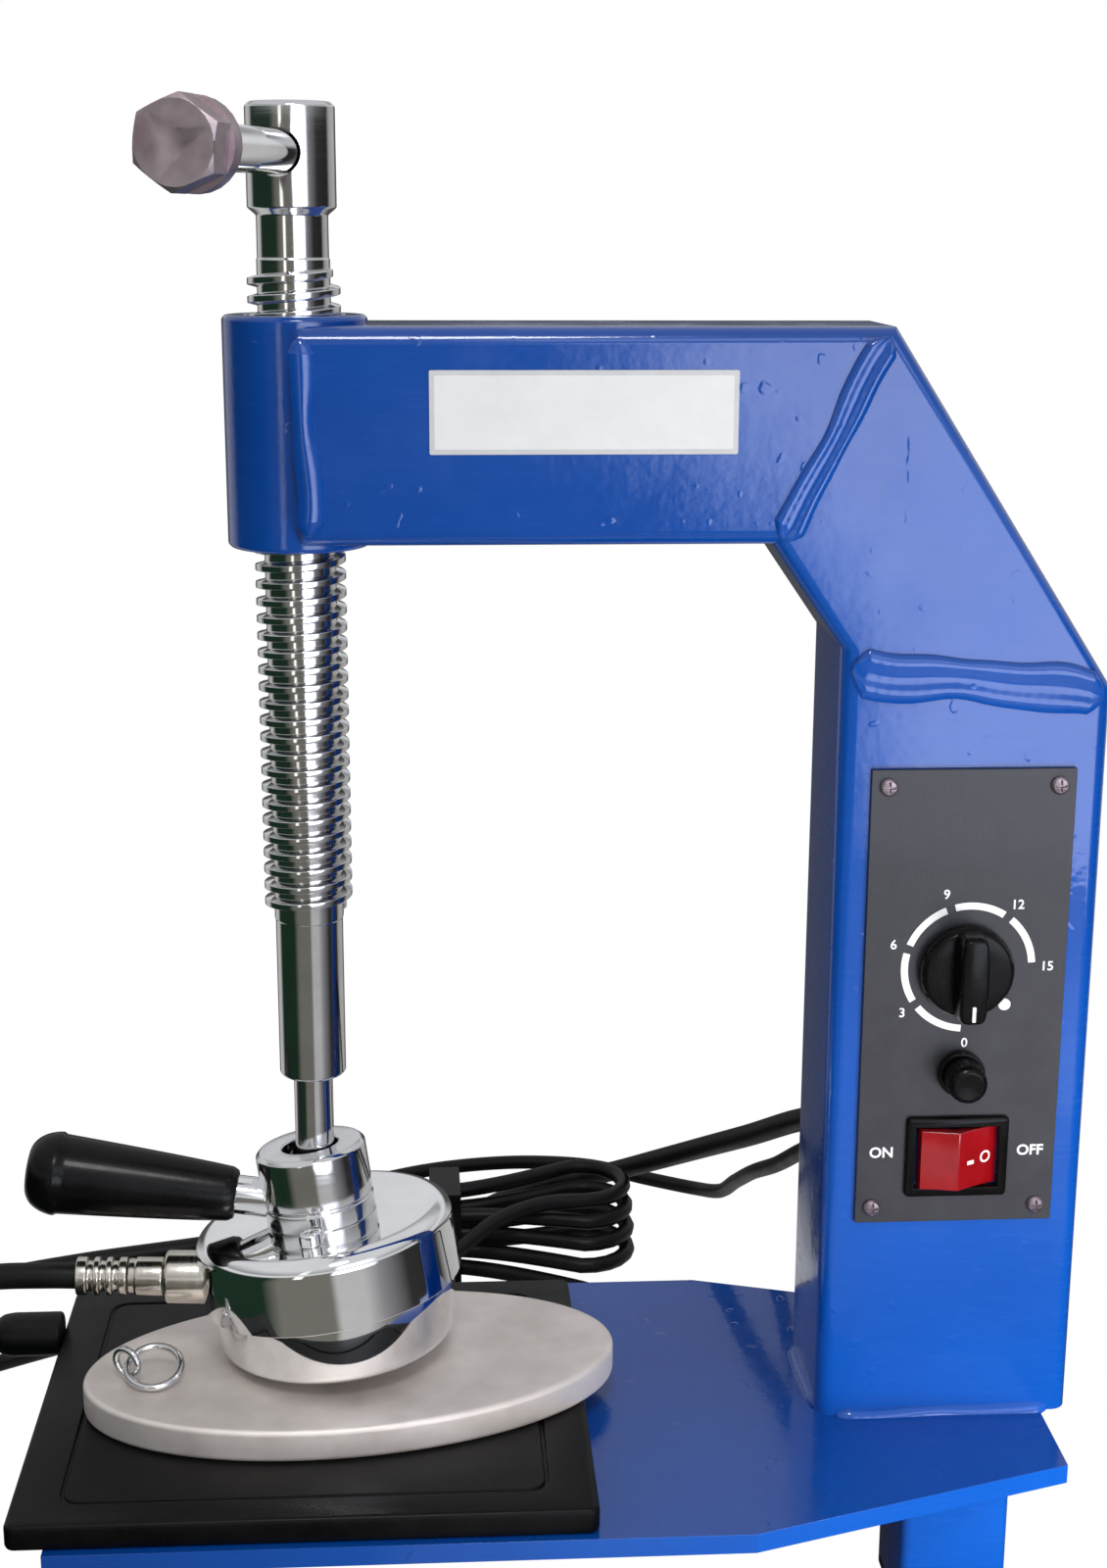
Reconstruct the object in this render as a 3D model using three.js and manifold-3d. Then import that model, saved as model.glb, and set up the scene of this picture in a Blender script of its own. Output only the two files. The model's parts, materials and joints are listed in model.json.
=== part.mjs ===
// Bench tire vulcanizer: a welded C-frame of rectangular tube carries a screw spindle that presses
// a round upper heater onto a loose oval plate and a flat lower heater. Millimetres, +Z up.
// Everything is drawn from the screw axis (x = 0, y = 0) and the top of the base plate (z = 0),
// and the finished group is then moved so that its own origin is the middle of its footprint.
import * as THREE from "three";
import { mergeVertices } from "three/addons/utils/BufferGeometryUtils.js";
import Module from "manifold-3d";

// General values
const overrun = 2; // how far a cut runs past the face that it opens
const seatGap = 0.3; // gap between pieces that touch on turned or curved faces
const looseFit = 0.5; // radial room round a part that slides or turns by hand
const roundSides = 26;
const smallSides = 12;

// Frame of welded rectangular tube
const tubeDepth = 48;
const tubeWall = 3;
const tubeCorner = 5;
const columnWidth = 79;
const columnLeft = 153.8;
const armHeight = 60;
const armBottom = 271.1;
const braceHeight = 60;
const braceSlope = THREE.MathUtils.degToRad(57);
const elbowX = 166.4; // where the top of the arm meets the outside of the brace
const armEndX = 2; // the end of the arm, just past the middle of the boss

// Threaded boss and spindle
const pitch = 5;
const threadRadius = 13;
const threadDepth = 2.75;
const crestWidth = 1.83;
const flankSlope = THREE.MathUtils.degToRad(15);
const threadSteps = 12; // facets to a turn
const threadPlay = 0.4; // radial room between screw and boss
const threadSidePlay = 0.3; // room beside each ridge of the screw
const bossRadius = 20.4;
const bossProud = 2.4; // how far the boss stands above and below the arm
const bossChamfer = 1;
const headRadius = 12.4;
const headHeight = 28.5;
const headChamfer = 1.2;
const headTop = 390.5;
const shankRadius = 10; // plain lengths above and below the thread
const upperShankLength = 13.5;
const threadStart = 157.3;
const shankEnd = 107.6;
const neckRadius = 5.9;
const collarRadius = 10;
const collarThickness = 5;

// Sliding bar through the head
const barRadius = 6;
const barTurn = THREE.MathUtils.degToRad(15.4); // from straight forward towards the left
const barReach = 71; // from the screw axis to the back of the cap's round collar
const barDrop = 13.6; // below the top of the head
const barTail = 23;
const capAcrossFlats = 20.6;
const capLength = 11;
const capCollarRadius = 11.8;
const capCollarLength = 5;
const capDimple = 3.4;
const capTurn = THREE.MathUtils.degToRad(38);
const barTravel = 55;
const pinRadius = 1.5;
const pinLength = 17;

// Base plate and legs
const baseThickness = 6;
const baseLeft = -73.8;
const baseRight = 224.2;
const baseMiddleY = -9;
const baseDepth = 156;
const baseChamferLength = 97.8;
const baseChamferDepth = 31;
const legSide = 32;
const legWall = 2;
const legCorner = 3;
const legLength = 37;
const legInset = 6;
const legEndInset = 18.7;
const capFlange = 3;
const capPlugDepth = 8;
const capPlugWall = 2;

// Control panel and what it carries
const panelMargin = 9.5; // column shown at each side of the panel
const panelHeight = 141;
const panelThickness = 1.5;
const panelMiddleZ = 135.9;
const panelInset = 5;
const windowWidth = 42;
const windowHeight = 122;
const windowCorner = 4;
const panelScrewHead = 2.7;
const panelScrewHeadHeight = 1.9;
const panelScrewShank = 1.5;
const panelScrewLength = 8;
const recessSpan = 1.8;
const recessWidth = 0.6;
const recessDepth = 1;
const timerZ = 145.8;
const timerSide = 36;
const timerDepth = 26;
const timerShaftRadius = 3;
const knobRadius = 14;
const knobSkirt = 3.2;
const knobCrown = 5.2;
const knobTaper = 1;
const knobBarWidth = 9;
const knobBarHeight = 13;
const knobBarTaper = 1.6;
const fuseZ = 113.5;
const fuseCollarRadius = 7;
const fuseCollarHeight = 3;
const fuseBodyRadius = 5.8;
const fuseBodyDepth = 30;
const fuseWall = 1.6;
const fuseCapRadius = 5.9;
const fuseCapHeight = 9;
const fuseCapChamfer = 1;
const fuseSlotWidth = 1.6;
const fuseSlotDepth = 1.6;
const fuseRadius = 2.5;
const fuseLength = 20;
const fuseTravel = 34;
const switchZ = 86.8;
const bezelWidth = 31;
const bezelHeight = 25.5;
const bezelProud = 2;
const bezelRound = 1.5;
const switchWidth = 27;
const switchHeight = 22;
const switchDepth = 20;
const rockerWidth = 24.5;
const rockerHeight = 19;
const rockerCrown = 4.6; // height of the ridge over the line between its ends
const rockerTilt = THREE.MathUtils.degToRad(9);
const rockerRoot = 6;
const rockerAxisDepth = 2; // behind the panel's face

// Lower heater
const lowerWidth = 166.5;
const lowerDepth = 142;
const lowerMiddleX = -1.2;
const lowerMiddleY = -14;
const lowerHeight = 8;
const lowerCorner = 3;
const lowerEdge = 1.4;
const grooveWidth = 1.3;
const grooveDepth = 0.8;
const grooveSpanX = 138;
const grooveSpanY = 119.6;
const grooveCorner = 6;
const elementInset = 14;
const elementThickness = 1.6;
const lowerBoltRadius = 3;
const lowerBoltHead = 5.4;
const lowerBoltHeadHeight = 3;
const lowerBoltInset = 26; // from the front and back edges
const lowerBoltSpan = 52; // between left and right
const lowerBoltLength = 11;
const lowerBootRadius = 7;
const lowerBootLength = 22;
const lowerBootY = 28;
const lowerBootZ = 7.2;

// Oval pressing plate with its two rings
const ovalHalfLength = 82;
const ovalHalfWidth = 43;
const ovalHeight = 10;
const ovalEdge = 1.2;
const ovalMiddleX = 10.7;
const ovalMiddleY = -12;
const ovalTurn = THREE.MathUtils.degToRad(8);
const ovalTravel = 90;
const wireRadius = 1.1;
const eyeRadius = 4.3;
const eyeX = -57;
const eyeY = -23;
const eyeTurn = THREE.MathUtils.degToRad(-35);
const linkRadius = 8.1;
const linkLean = THREE.MathUtils.degToRad(20);

// Upper heater, its swivel block, handle and plug
const heaterRadius = 40;
const coverHeight = 22.5;
const coverRim = 5;
const coverEdge = 0.7;
const coverWall = 1.1;
const coverCavityDepth = 9.4;
const coverTilt = THREE.MathUtils.degToRad(9.4); // the cover sits crooked on the block below it
const footHeight = 17.5; // from the middle of the cover's lower edge down
const footRise = 5; // from there up into the cover
const footRadius = 37.9;
const footBottomRadius = 36.2;
const footRounding = 2.5;
const footTilt = THREE.MathUtils.degToRad(4.5);
const leanAxis = new THREE.Vector3(-0.477, -0.879, 0); // both tilt about this, right and front up
const elementDepth = 4;
const elementInner = 14;
const elementOuter = 33;
const blockRadius = 17;
const blockHeight = 23;
const blockChamfer = 1.2;
const blockBore = 8.6;
const blockCavity = 11.8;
const blockCavityDepth = 15.4;
const seatSphere = 14;
const seatSink = 3; // how deep the round seat stands in the top of the heater
const seatHeight = 8;
const seatRadius = 9;
const washerThickness = 2;
const washerRadius = 9;
const capScrewRadius = 3.6;
const capScrewHeight = 4;
const capScrewCircle = 25;
const capScrewSocket = 1.7;
const capScrewSocketDepth = 2;
const capScrewShank = 2;
const capScrewLength = 14;
const handleRise = THREE.MathUtils.degToRad(16.5);
const handleRodRadius = 6;
const handleRodLength = 36;
const handleSink = 4.5;
const gripStart = 8;
const gripLength = 64;
const gripInner = 8;
const gripOuter = 12.8;
const gripBore = 22;
const plugRise = THREE.MathUtils.degToRad(10);
const plugRaise = 8.5; // above the cover's lower edge
const nutRadius = 8.2;
const nutLength = 11;
const nutSink = 4;
const shellRadius = 6;
const shellLength = 11;
const bootRadius = 5.9;
const bootLength = 15.5;
const bootRings = 4;
const bootRingDepth = 1.1;
const cableRadius = 3;

// Grommets on the back of the column
const grommetWidth = 11;
const grommetHeight = 19;
const grommetProud = 3;
const grommetZ = 66;
const grommetX = 168;
const cablePairStep = 8.2;
const reliefZ = 30;
const reliefLength = 26;
const reliefBase = 6;
const reliefTip = 4.2;
const reliefFlange = 8;
const reliefFlangeHeight = 2.5;
const benchClearance = 0.2;

// Cables and the hank of power cord on the bench behind the base
const heaterCableRadius = 4;
const plateCableRadius = 3;
const powerCordRadius = 3;
const hankMiddleX = 41;
const hankMiddleY = 172;
const hankRun = 108;
const hankHalfWidth = 18;
const hankTurns = 4;
const hankStart = 0.5; // the cord comes in at the front of the right-hand bend
const hankRise = 7; // from one turn to the next
const hankStartAngle = THREE.MathUtils.degToRad(-9);
const hankEndAngle = THREE.MathUtils.degToRad(10);
const hankWaistShare = 0.6; // share by which the tie draws the two runs together
const hankRunSteps = 5;
const hankBendSteps = 7;
const tieWidth = 12;
const tieThickness = 1.6;
const tieSpare = 1.6;
const plugX = -22;
const plugY = 91;
const plugBodyLength = 34;
const plugBodyRadius = 7;
const plugFaceRadius = 17;
const plugFaceLength = 12;
const plugPinRadius = 2.4;
const plugPinLength = 19;
const plugPinSpacing = 19;

// Sizes that follow from the ones above
const halfDepth = tubeDepth / 2;
const columnRight = columnLeft + columnWidth;
const panelWidth = columnWidth - 2 * panelMargin;
const panelMiddleX = columnLeft + columnWidth / 2;
const reliefX = panelMiddleX;
const armTop = armBottom + armHeight;
const bossBottom = armBottom - bossProud;
const bossTop = armTop + bossProud;
const headBottom = headTop - headHeight;
const threadEnd = headBottom - upperShankLength;
const rootRadius = threadRadius - threadDepth;
const coreRadius = rootRadius * Math.cos(Math.PI / threadSteps) - seatGap; // inside the thread's facets
const barZ = headTop - barDrop;
const benchZ = -baseThickness - legLength - capFlange;
const panelFace = -halfDepth - panelThickness;
const pivotRise = seatSphere + seatGap - seatSink; // of the round seat's centre over the cover
const lowerTop = lowerHeight;
const ovalTop = lowerTop + ovalHeight;
const seamZ = ovalTop + seatGap + footHeight * Math.cos(footTilt) + footBottomRadius * Math.sin(footTilt);
const heaterTop = seamZ + coverHeight - (pivotRise + coverHeight) * (1 - Math.cos(coverTilt));
const pivotZ = heaterTop + pivotRise;
const seatTop = pivotZ - seatSphere + seatHeight;
const washerBottom = seatTop + seatGap;
const collarBottom = washerBottom + washerThickness + seatGap;

const steel = new THREE.MeshStandardMaterial({ color: 0xb9bcc0, roughness: 0.22, metalness: 1 });
const chrome = new THREE.MeshStandardMaterial({ color: 0xd4d6d8, roughness: 0.08, metalness: 1 });
const darkSteel = new THREE.MeshStandardMaterial({ color: 0x5a5150, roughness: 0.5, metalness: 0.8 });
const aluminium = new THREE.MeshStandardMaterial({ color: 0xb4aca6, roughness: 0.45, metalness: 0.9 });
const bluePaint = new THREE.MeshStandardMaterial({ color: 0x1e62c0, roughness: 0.25, metalness: 0.1 });
const blackPaint = new THREE.MeshStandardMaterial({ color: 0x2e2f31, roughness: 0.5, metalness: 0.3 });
const panelGrey = new THREE.MeshStandardMaterial({ color: 0x4a4a4e, roughness: 0.55, metalness: 0.1 });
const blackPlastic = new THREE.MeshStandardMaterial({ color: 0x17181a, roughness: 0.45, metalness: 0 });
const redPlastic = new THREE.MeshStandardMaterial({ color: 0xc8101a, roughness: 0.3, metalness: 0 });
const rubber = new THREE.MeshStandardMaterial({ color: 0x121214, roughness: 0.7, metalness: 0 });
const glass = new THREE.MeshStandardMaterial({ color: 0xe6eef0, roughness: 0.05, metalness: 0 });
const mica = new THREE.MeshStandardMaterial({ color: 0xc9b27a, roughness: 0.6, metalness: 0 });
const bronze = new THREE.MeshStandardMaterial({ color: 0xa9803f, roughness: 0.35, metalness: 1 });

const wasm = await Module();
wasm.setup();

// Closed solids from three.js geometry and back

function solidOf(geometry) {
  const bare = geometry.clone();
  bare.deleteAttribute("normal");
  bare.deleteAttribute("uv");
  const merged = mergeVertices(bare, 1e-4);
  const index = merged.index.array;
  const kept = [];
  for (let i = 0; i < index.length; i += 3) {
    const [a, b, c] = [index[i], index[i + 1], index[i + 2]];
    if (a !== b && b !== c && c !== a) kept.push(a, b, c);
  }
  return new wasm.Manifold(
    new wasm.Mesh({
      numProp: 3,
      vertProperties: Float32Array.from(merged.attributes.position.array),
      triVerts: Uint32Array.from(kept),
    }),
  );
}

function geometryOf(solid) {
  const mesh = solid.getMesh();
  const geometry = new THREE.BufferGeometry();
  geometry.setAttribute("position", new THREE.BufferAttribute(Float32Array.from(mesh.vertProperties), 3));
  geometry.setIndex(new THREE.BufferAttribute(Uint32Array.from(mesh.triVerts), 1));
  geometry.computeVertexNormals();
  return geometry;
}

const join = (...geometries) => geometryOf(geometries.map(solidOf).reduce((a, b) => a.add(b)));
const cut = (body, ...tools) => geometryOf(tools.map(solidOf).reduce((a, b) => a.subtract(b), solidOf(body)));
const common = (a, b) => geometryOf(solidOf(a).intersect(solidOf(b)));

function place(name, geometry, material, group) {
  const mesh = new THREE.Mesh(geometry, material);
  mesh.name = name;
  group.add(mesh);
  return mesh;
}

// Basic forms, each standing on z = 0 unless it says otherwise

// A turned form from its profile, a list of [radius, height] that runs upwards and ends on the axis.
function turned(profile, sides = roundSides) {
  const points = profile.map(([r, z]) => new THREE.Vector2(r, z));
  return new THREE.LatheGeometry(points, sides).rotateX(Math.PI / 2);
}

function rod(radius, from, to, chamfer = 0, sides = roundSides) {
  const profile = [[0, from], [radius - chamfer, from]];
  if (chamfer) profile.push([radius, from + chamfer], [radius, to - chamfer]);
  profile.push([radius - chamfer, to], [0, to]);
  return turned(profile, sides);
}

function ring(outer, inner, from, to, sides = roundSides) {
  return turned([[inner, from], [outer, from], [outer, to], [inner, to], [inner, from]], sides);
}

function block(width, depth, height) {
  return new THREE.BoxGeometry(width, depth, height).translate(0, 0, height / 2);
}

function roundedOutline(width, height, radius) {
  const [w, h, r] = [width / 2, height / 2, radius];
  const shape = new THREE.Shape();
  shape.moveTo(-w + r, -h);
  shape.lineTo(w - r, -h);
  shape.absarc(w - r, -h + r, r, -Math.PI / 2, 0, false);
  shape.lineTo(w, h - r);
  shape.absarc(w - r, h - r, r, 0, Math.PI / 2, false);
  shape.lineTo(-w + r, h);
  shape.absarc(-w + r, h - r, r, Math.PI / 2, Math.PI, false);
  shape.lineTo(-w, -h + r);
  shape.absarc(-w + r, -h + r, r, Math.PI, Math.PI * 1.5, false);
  return shape;
}

function slab(shape, height, curveSegments = 2) {
  return new THREE.ExtrudeGeometry(shape, { depth: height, bevelEnabled: false, curveSegments });
}

// A slab whose upper edge is bevelled.
function edgedSlab(shape, height, edge, curveSegments = 3) {
  const geometry = new THREE.ExtrudeGeometry(shape, {
    depth: height - 2 * edge,
    bevelEnabled: true,
    bevelThickness: edge,
    bevelSize: edge,
    bevelOffset: -edge,
    bevelSegments: 2,
    curveSegments,
  });
  return geometry.translate(0, 0, edge);
}

function hollowTube(width, depth, corner, wall, length) {
  const shape = roundedOutline(width, depth, corner);
  shape.holes.push(roundedOutline(width - 2 * wall, depth - 2 * wall, corner - wall / 2));
  return slab(shape, length, 2);
}

// A prism whose outline is given in x and z, centred on y = 0.
function sideProfile(points, depth) {
  const shape = new THREE.Shape(points.map(([x, z]) => new THREE.Vector2(x, z)));
  return slab(shape, depth).rotateX(Math.PI / 2).translate(0, depth / 2, 0);
}

// Turns a form that stands along +Z so that it points the way given.
function pointing(geometry, direction) {
  const turn = new THREE.Quaternion().setFromUnitVectors(
    new THREE.Vector3(0, 0, 1),
    direction.clone().normalize(),
  );
  return geometry.applyQuaternion(turn);
}

// The frame's outline: the brace runs down from the elbow at its slope, square to this normal.

const braceNormal = new THREE.Vector2(Math.sin(braceSlope), Math.cos(braceSlope));
const outerOffset = elbowX * braceNormal.x + armTop * braceNormal.y;
const innerOffset = outerOffset - braceHeight;
const atHeight = (offset, z) => (offset - z * braceNormal.y) / braceNormal.x;
const atWidth = (offset, x) => (offset - x * braceNormal.x) / braceNormal.y;
const elbow = new THREE.Vector2(elbowX, armTop);
const armpit = new THREE.Vector2(atHeight(innerOffset, armBottom), armBottom);
const kneeOut = new THREE.Vector2(columnRight, atWidth(outerOffset, columnRight));
const kneeIn = new THREE.Vector2(columnLeft, atWidth(innerOffset, columnLeft));

// Points along a mitre, run on past both ends and set back by half the welding gap.
function mitre(outside, inside, side) {
  const along = outside.clone().sub(inside).normalize();
  const back = new THREE.Vector2(-along.y, along.x).multiplyScalar((side * seatGap) / 2);
  const reach = along.clone().multiplyScalar(2 * overrun);
  return [
    inside.clone().sub(reach).add(back),
    outside.clone().add(reach).add(back),
  ].map((p) => [p.x, p.y]);
}

function frameTubes(group) {
  const cutDepth = tubeDepth + 2 * overrun;

  const [kneeLow, kneeHigh] = mitre(kneeOut, kneeIn, -1);
  const columnTube = hollowTube(columnWidth, tubeDepth, tubeCorner, tubeWall, kneeIn.y + columnWidth)
    .translate(columnLeft + columnWidth / 2, 0, 0);
  const belowKnee = sideProfile(
    [[kneeLow[0], -overrun], [kneeHigh[0], -overrun], kneeHigh, kneeLow],
    cutDepth,
  );
  const panelWindow = slab(roundedOutline(windowWidth, windowHeight, windowCorner), tubeWall + 2 * overrun)
    .rotateX(Math.PI / 2)
    .translate(panelMiddleX, -halfDepth + tubeWall + overrun, panelMiddleZ);
  const grommetHole = slab(grommetOutline(looseFit - grommetLip), tubeWall + 2 * overrun)
    .rotateX(Math.PI / 2)
    .translate(grommetX, halfDepth + overrun, grommetZ);
  const reliefHole = rod(reliefBase + seatGap, 0, tubeWall + 2 * overrun, 0, smallSides)
    .rotateX(Math.PI / 2)
    .translate(reliefX, halfDepth + overrun, reliefZ);
  const screwHoles = panelCorners().map(([x, z]) =>
    rod(panelScrewShank + seatGap, 0, tubeWall + 2 * overrun, 0, 8)
      .rotateX(Math.PI / 2)
      .translate(x, -halfDepth + tubeWall + overrun, z),
  );
  place(
    "column_tube",
    cut(common(columnTube, belowKnee), panelWindow, grommetHole, reliefHole, ...screwHoles),
    bluePaint,
    group,
  );

  const braceLength = elbow.distanceTo(kneeOut) + 2 * columnWidth;
  const braceMiddle = elbow.clone().add(kneeOut).add(armpit).add(kneeIn).multiplyScalar(1 / 4);
  const braceTube = hollowTube(braceHeight, tubeDepth, tubeCorner, tubeWall, braceLength)
    .translate(0, 0, -braceLength / 2)
    .rotateY(Math.PI - (Math.PI / 2 - braceSlope))
    .translate(braceMiddle.x, 0, braceMiddle.y);
  // The tube's own height is centred between its outer and inner faces.
  const centre = (outerOffset + innerOffset) / 2;
  const drift = centre - (braceMiddle.x * braceNormal.x + braceMiddle.y * braceNormal.y);
  braceTube.translate(drift * braceNormal.x, 0, drift * braceNormal.y);
  const [kneeLowUp, kneeHighUp] = mitre(kneeOut, kneeIn, 1);
  const [elbowLow, elbowHigh] = mitre(elbow, armpit, -1);
  const betweenMitres = sideProfile([kneeLowUp, kneeHighUp, elbowHigh, elbowLow], cutDepth);
  place("corner_tube", common(braceTube, betweenMitres), bluePaint, group);

  const armLength = elbowX + armHeight;
  const armTube = hollowTube(armHeight, tubeDepth, tubeCorner, tubeWall, armLength)
    .rotateY(Math.PI / 2)
    .translate(armEndX, 0, armBottom + armHeight / 2);
  const [elbowLowUp, elbowHighUp] = mitre(elbow, armpit, 1);
  const beforeElbow = sideProfile(
    [[armEndX - overrun, elbowLowUp[1]], elbowLowUp, elbowHighUp, [armEndX - overrun, elbowHighUp[1]]],
    cutDepth,
  );
  const bossRoom = rod(bossRadius + seatGap, bossBottom - overrun, bossTop + overrun);
  place("arm_tube", cut(common(armTube, beforeElbow), bossRoom), bluePaint, group);
}

// Screw thread: one ridge wound round the axis as a strip of flat facets, closed at both ends by
// a fan to the axis. It is longer than it has to be and is trimmed by what it is cut with.

function threadForm(root, crest, ridge, from, to) {
  const flank = (crest - root) * Math.tan(flankSlope);
  const rootWidth = pitch - ridge - 2 * flank;
  const heights = [0, rootWidth, rootWidth + flank, rootWidth + flank + ridge];
  const radii = [root, root, crest, crest];
  // The middle of the ridge lies on z = 0 at angle 0, whatever the play is.
  const start = -(rootWidth + flank + ridge / 2) + Math.floor(from / pitch) * pitch;
  const turns = Math.ceil((to - from) / pitch) + 1;
  const steps = turns * threadSteps;
  const positions = [];
  const corner = (k, j) => {
    const angle = (2 * Math.PI * k) / threadSteps;
    const z = start + (pitch * k) / threadSteps + heights[j];
    return [radii[j] * Math.cos(angle), radii[j] * Math.sin(angle), z];
  };
  for (let k = 0; k <= steps + threadSteps; k++) {
    for (let j = 0; j < 4; j++) positions.push(...corner(k, j));
  }
  const at = (k, j) => (j === 4 ? (k + threadSteps) * 4 : k * 4 + j);
  const index = [];
  for (let k = 0; k < steps; k++) {
    for (let j = 0; j < 4; j++) {
      index.push(at(k, j), at(k + 1, j), at(k + 1, j + 1));
      index.push(at(k, j), at(k + 1, j + 1), at(k, j + 1));
    }
  }
  const low = positions.length / 3;
  positions.push(0, 0, start + pitch / 2);
  const high = low + 1;
  positions.push(0, 0, start + (pitch * steps) / threadSteps + pitch / 2);
  for (let k = 0; k < threadSteps; k++) {
    index.push(low, at(k + 1, 0), at(k, 0));
    index.push(high, at(steps + k, 0), at(steps + k + 1, 0));
  }
  for (let j = 0; j < 4; j++) {
    index.push(low, at(0, j), at(0, j + 1));
    index.push(high, at(steps, j + 1), at(steps, j));
  }
  const geometry = new THREE.BufferGeometry();
  geometry.setAttribute("position", new THREE.Float32BufferAttribute(positions, 3));
  geometry.setIndex(index);
  return geometry;
}

function screwBoss(group) {
  const body = rod(bossRadius, bossBottom, bossTop, bossChamfer);
  const thread = threadForm(
    rootRadius + threadPlay,
    threadRadius + threadPlay,
    crestWidth + 2 * threadSidePlay,
    bossBottom - 2 * pitch,
    bossTop + 2 * pitch,
  );
  place("screw_boss", cut(body, thread), bluePaint, group);
}

function spindle(group) {
  // The thread is trimmed to its length, with both ends chamfered down to the plain shank.
  const envelope = turned([
    [0, threadStart],
    [shankRadius, threadStart],
    [threadRadius + overrun, threadStart + threadDepth + overrun],
    [threadRadius + overrun, threadEnd - threadDepth - overrun],
    [shankRadius, threadEnd],
    [0, threadEnd],
  ], threadSteps * 2);
  const ridge = threadForm(rootRadius, threadRadius, crestWidth, threadStart - 2 * pitch, threadEnd + 2 * pitch);
  const plain = turned([
    [0, collarBottom],
    [collarRadius, collarBottom],
    [collarRadius, collarBottom + collarThickness],
    [neckRadius, collarBottom + collarThickness],
    [neckRadius, shankEnd],
    [shankRadius - headChamfer, shankEnd],
    [shankRadius, shankEnd + headChamfer],
    [shankRadius, threadStart + seatGap],
    [coreRadius, threadStart + seatGap],
    [coreRadius, threadEnd - seatGap],
    [shankRadius, threadEnd - seatGap],
    [shankRadius, headBottom - headChamfer],
    [headRadius, headBottom + headChamfer],
    [headRadius, headTop - headChamfer],
    [headRadius - headChamfer, headTop],
    [0, headTop],
  ], threadSteps * 2);
  const crossHole = rod(barRadius + looseFit, -headRadius * 2, headRadius * 2, 0, smallSides);
  pointing(crossHole, barDirection).translate(0, 0, barZ);
  place("spindle_screw", cut(join(common(ridge, envelope), plain), crossHole), steel, group);
}

// The bar points forward and to the left, and carries a hexagon cap at that end.

const barDirection = new THREE.Vector3(-Math.sin(barTurn), -Math.cos(barTurn), 0);

function slidingBar(group) {
  const bar = cut(
    rod(barRadius, -barTail, barReach, barRadius / 6, smallSides),
    rod(pinRadius + seatGap / 2, -2 * barRadius, 2 * barRadius, 0, 8)
      .rotateX(Math.PI / 2)
      .translate(0, 0, -pinPlace),
  );
  const holder = new THREE.Group();
  holder.position.set(0, 0, barZ);
  holder.quaternion.setFromUnitVectors(new THREE.Vector3(0, 0, 1), barDirection);
  group.add(holder);
  place("sliding_bar", bar, steel, holder);

  const hex = new THREE.CylinderGeometry(
    capAcrossFlats / Math.sqrt(3),
    capAcrossFlats / Math.sqrt(3),
    capLength,
    6,
  )
    .rotateX(Math.PI / 2)
    .rotateZ(capTurn)
    .translate(0, 0, barReach + seatGap + capCollarLength + capLength / 2);
  const crown = turned([
    [0, barReach + seatGap],
    [capCollarRadius, barReach + seatGap],
    [capCollarRadius, barReach + seatGap + capCollarLength],
    [capAcrossFlats / Math.sqrt(3), barReach + seatGap + capCollarLength],
    [capAcrossFlats / Math.sqrt(3), barReach + seatGap + capCollarLength + capLength * 0.88],
    [capAcrossFlats / 2, barReach + seatGap + capCollarLength + capLength],
    [0, barReach + seatGap + capCollarLength + capLength],
  ]);
  const collar = rod(capCollarRadius, barReach + seatGap, barReach + seatGap + capCollarLength + overrun / 4);
  const dimple = turned([
    [0, barReach + seatGap + capCollarLength + capLength - capDimple / 3],
    [capDimple, barReach + seatGap + capCollarLength + capLength],
    [capDimple, barReach + seatGap + capCollarLength + capLength + overrun],
    [0, barReach + seatGap + capCollarLength + capLength + overrun],
  ], smallSides);
  place("hexagon_cap", cut(join(collar, common(hex, crown)), dimple), darkSteel, holder);

  const pin = rod(pinRadius, -pinLength / 2, pinLength / 2, pinRadius / 4, 8)
    .rotateX(Math.PI / 2)
    .translate(0, 0, -pinPlace);
  place("bar_stop_pin", pin, steel, holder);
}

const pinPlace = headRadius + looseFit + pinRadius + (barTail - headRadius - looseFit - 2 * pinRadius) / 2;

// Base plate, its legs and their foot caps

function baseOutline() {
  const [front, back] = [baseMiddleY - baseDepth / 2, baseMiddleY + baseDepth / 2];
  return new THREE.Shape([
    new THREE.Vector2(baseLeft, front),
    new THREE.Vector2(baseRight - baseChamferLength, front),
    new THREE.Vector2(baseRight, front + baseChamferDepth),
    new THREE.Vector2(baseRight, back - baseChamferDepth),
    new THREE.Vector2(baseRight - baseChamferLength, back),
    new THREE.Vector2(baseLeft, back),
  ]);
}

function legPlaces() {
  const half = legSide / 2;
  const rightX = baseRight - legEndInset - half;
  const chamferAt = (baseChamferDepth * (rightX + half - baseRight + baseChamferLength)) / baseChamferLength;
  const rightY = baseDepth / 2 - chamferAt - half;
  const leftX = baseLeft + legInset + half;
  const leftY = baseDepth / 2 - legInset - half;
  return [
    ["front_left", leftX, baseMiddleY - leftY],
    ["front_right", rightX, baseMiddleY - rightY],
    ["back_left", leftX, baseMiddleY + leftY],
    ["back_right", rightX, baseMiddleY + rightY],
  ];
}

function lowerBoltPlaces() {
  const [dx, dy] = [lowerBoltSpan / 2, lowerDepth / 2 - lowerBoltInset];
  return [-1, 1].flatMap((sx) => [-1, 1].map((sy) => [lowerMiddleX + sx * dx, lowerMiddleY + sy * dy]));
}

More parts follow.
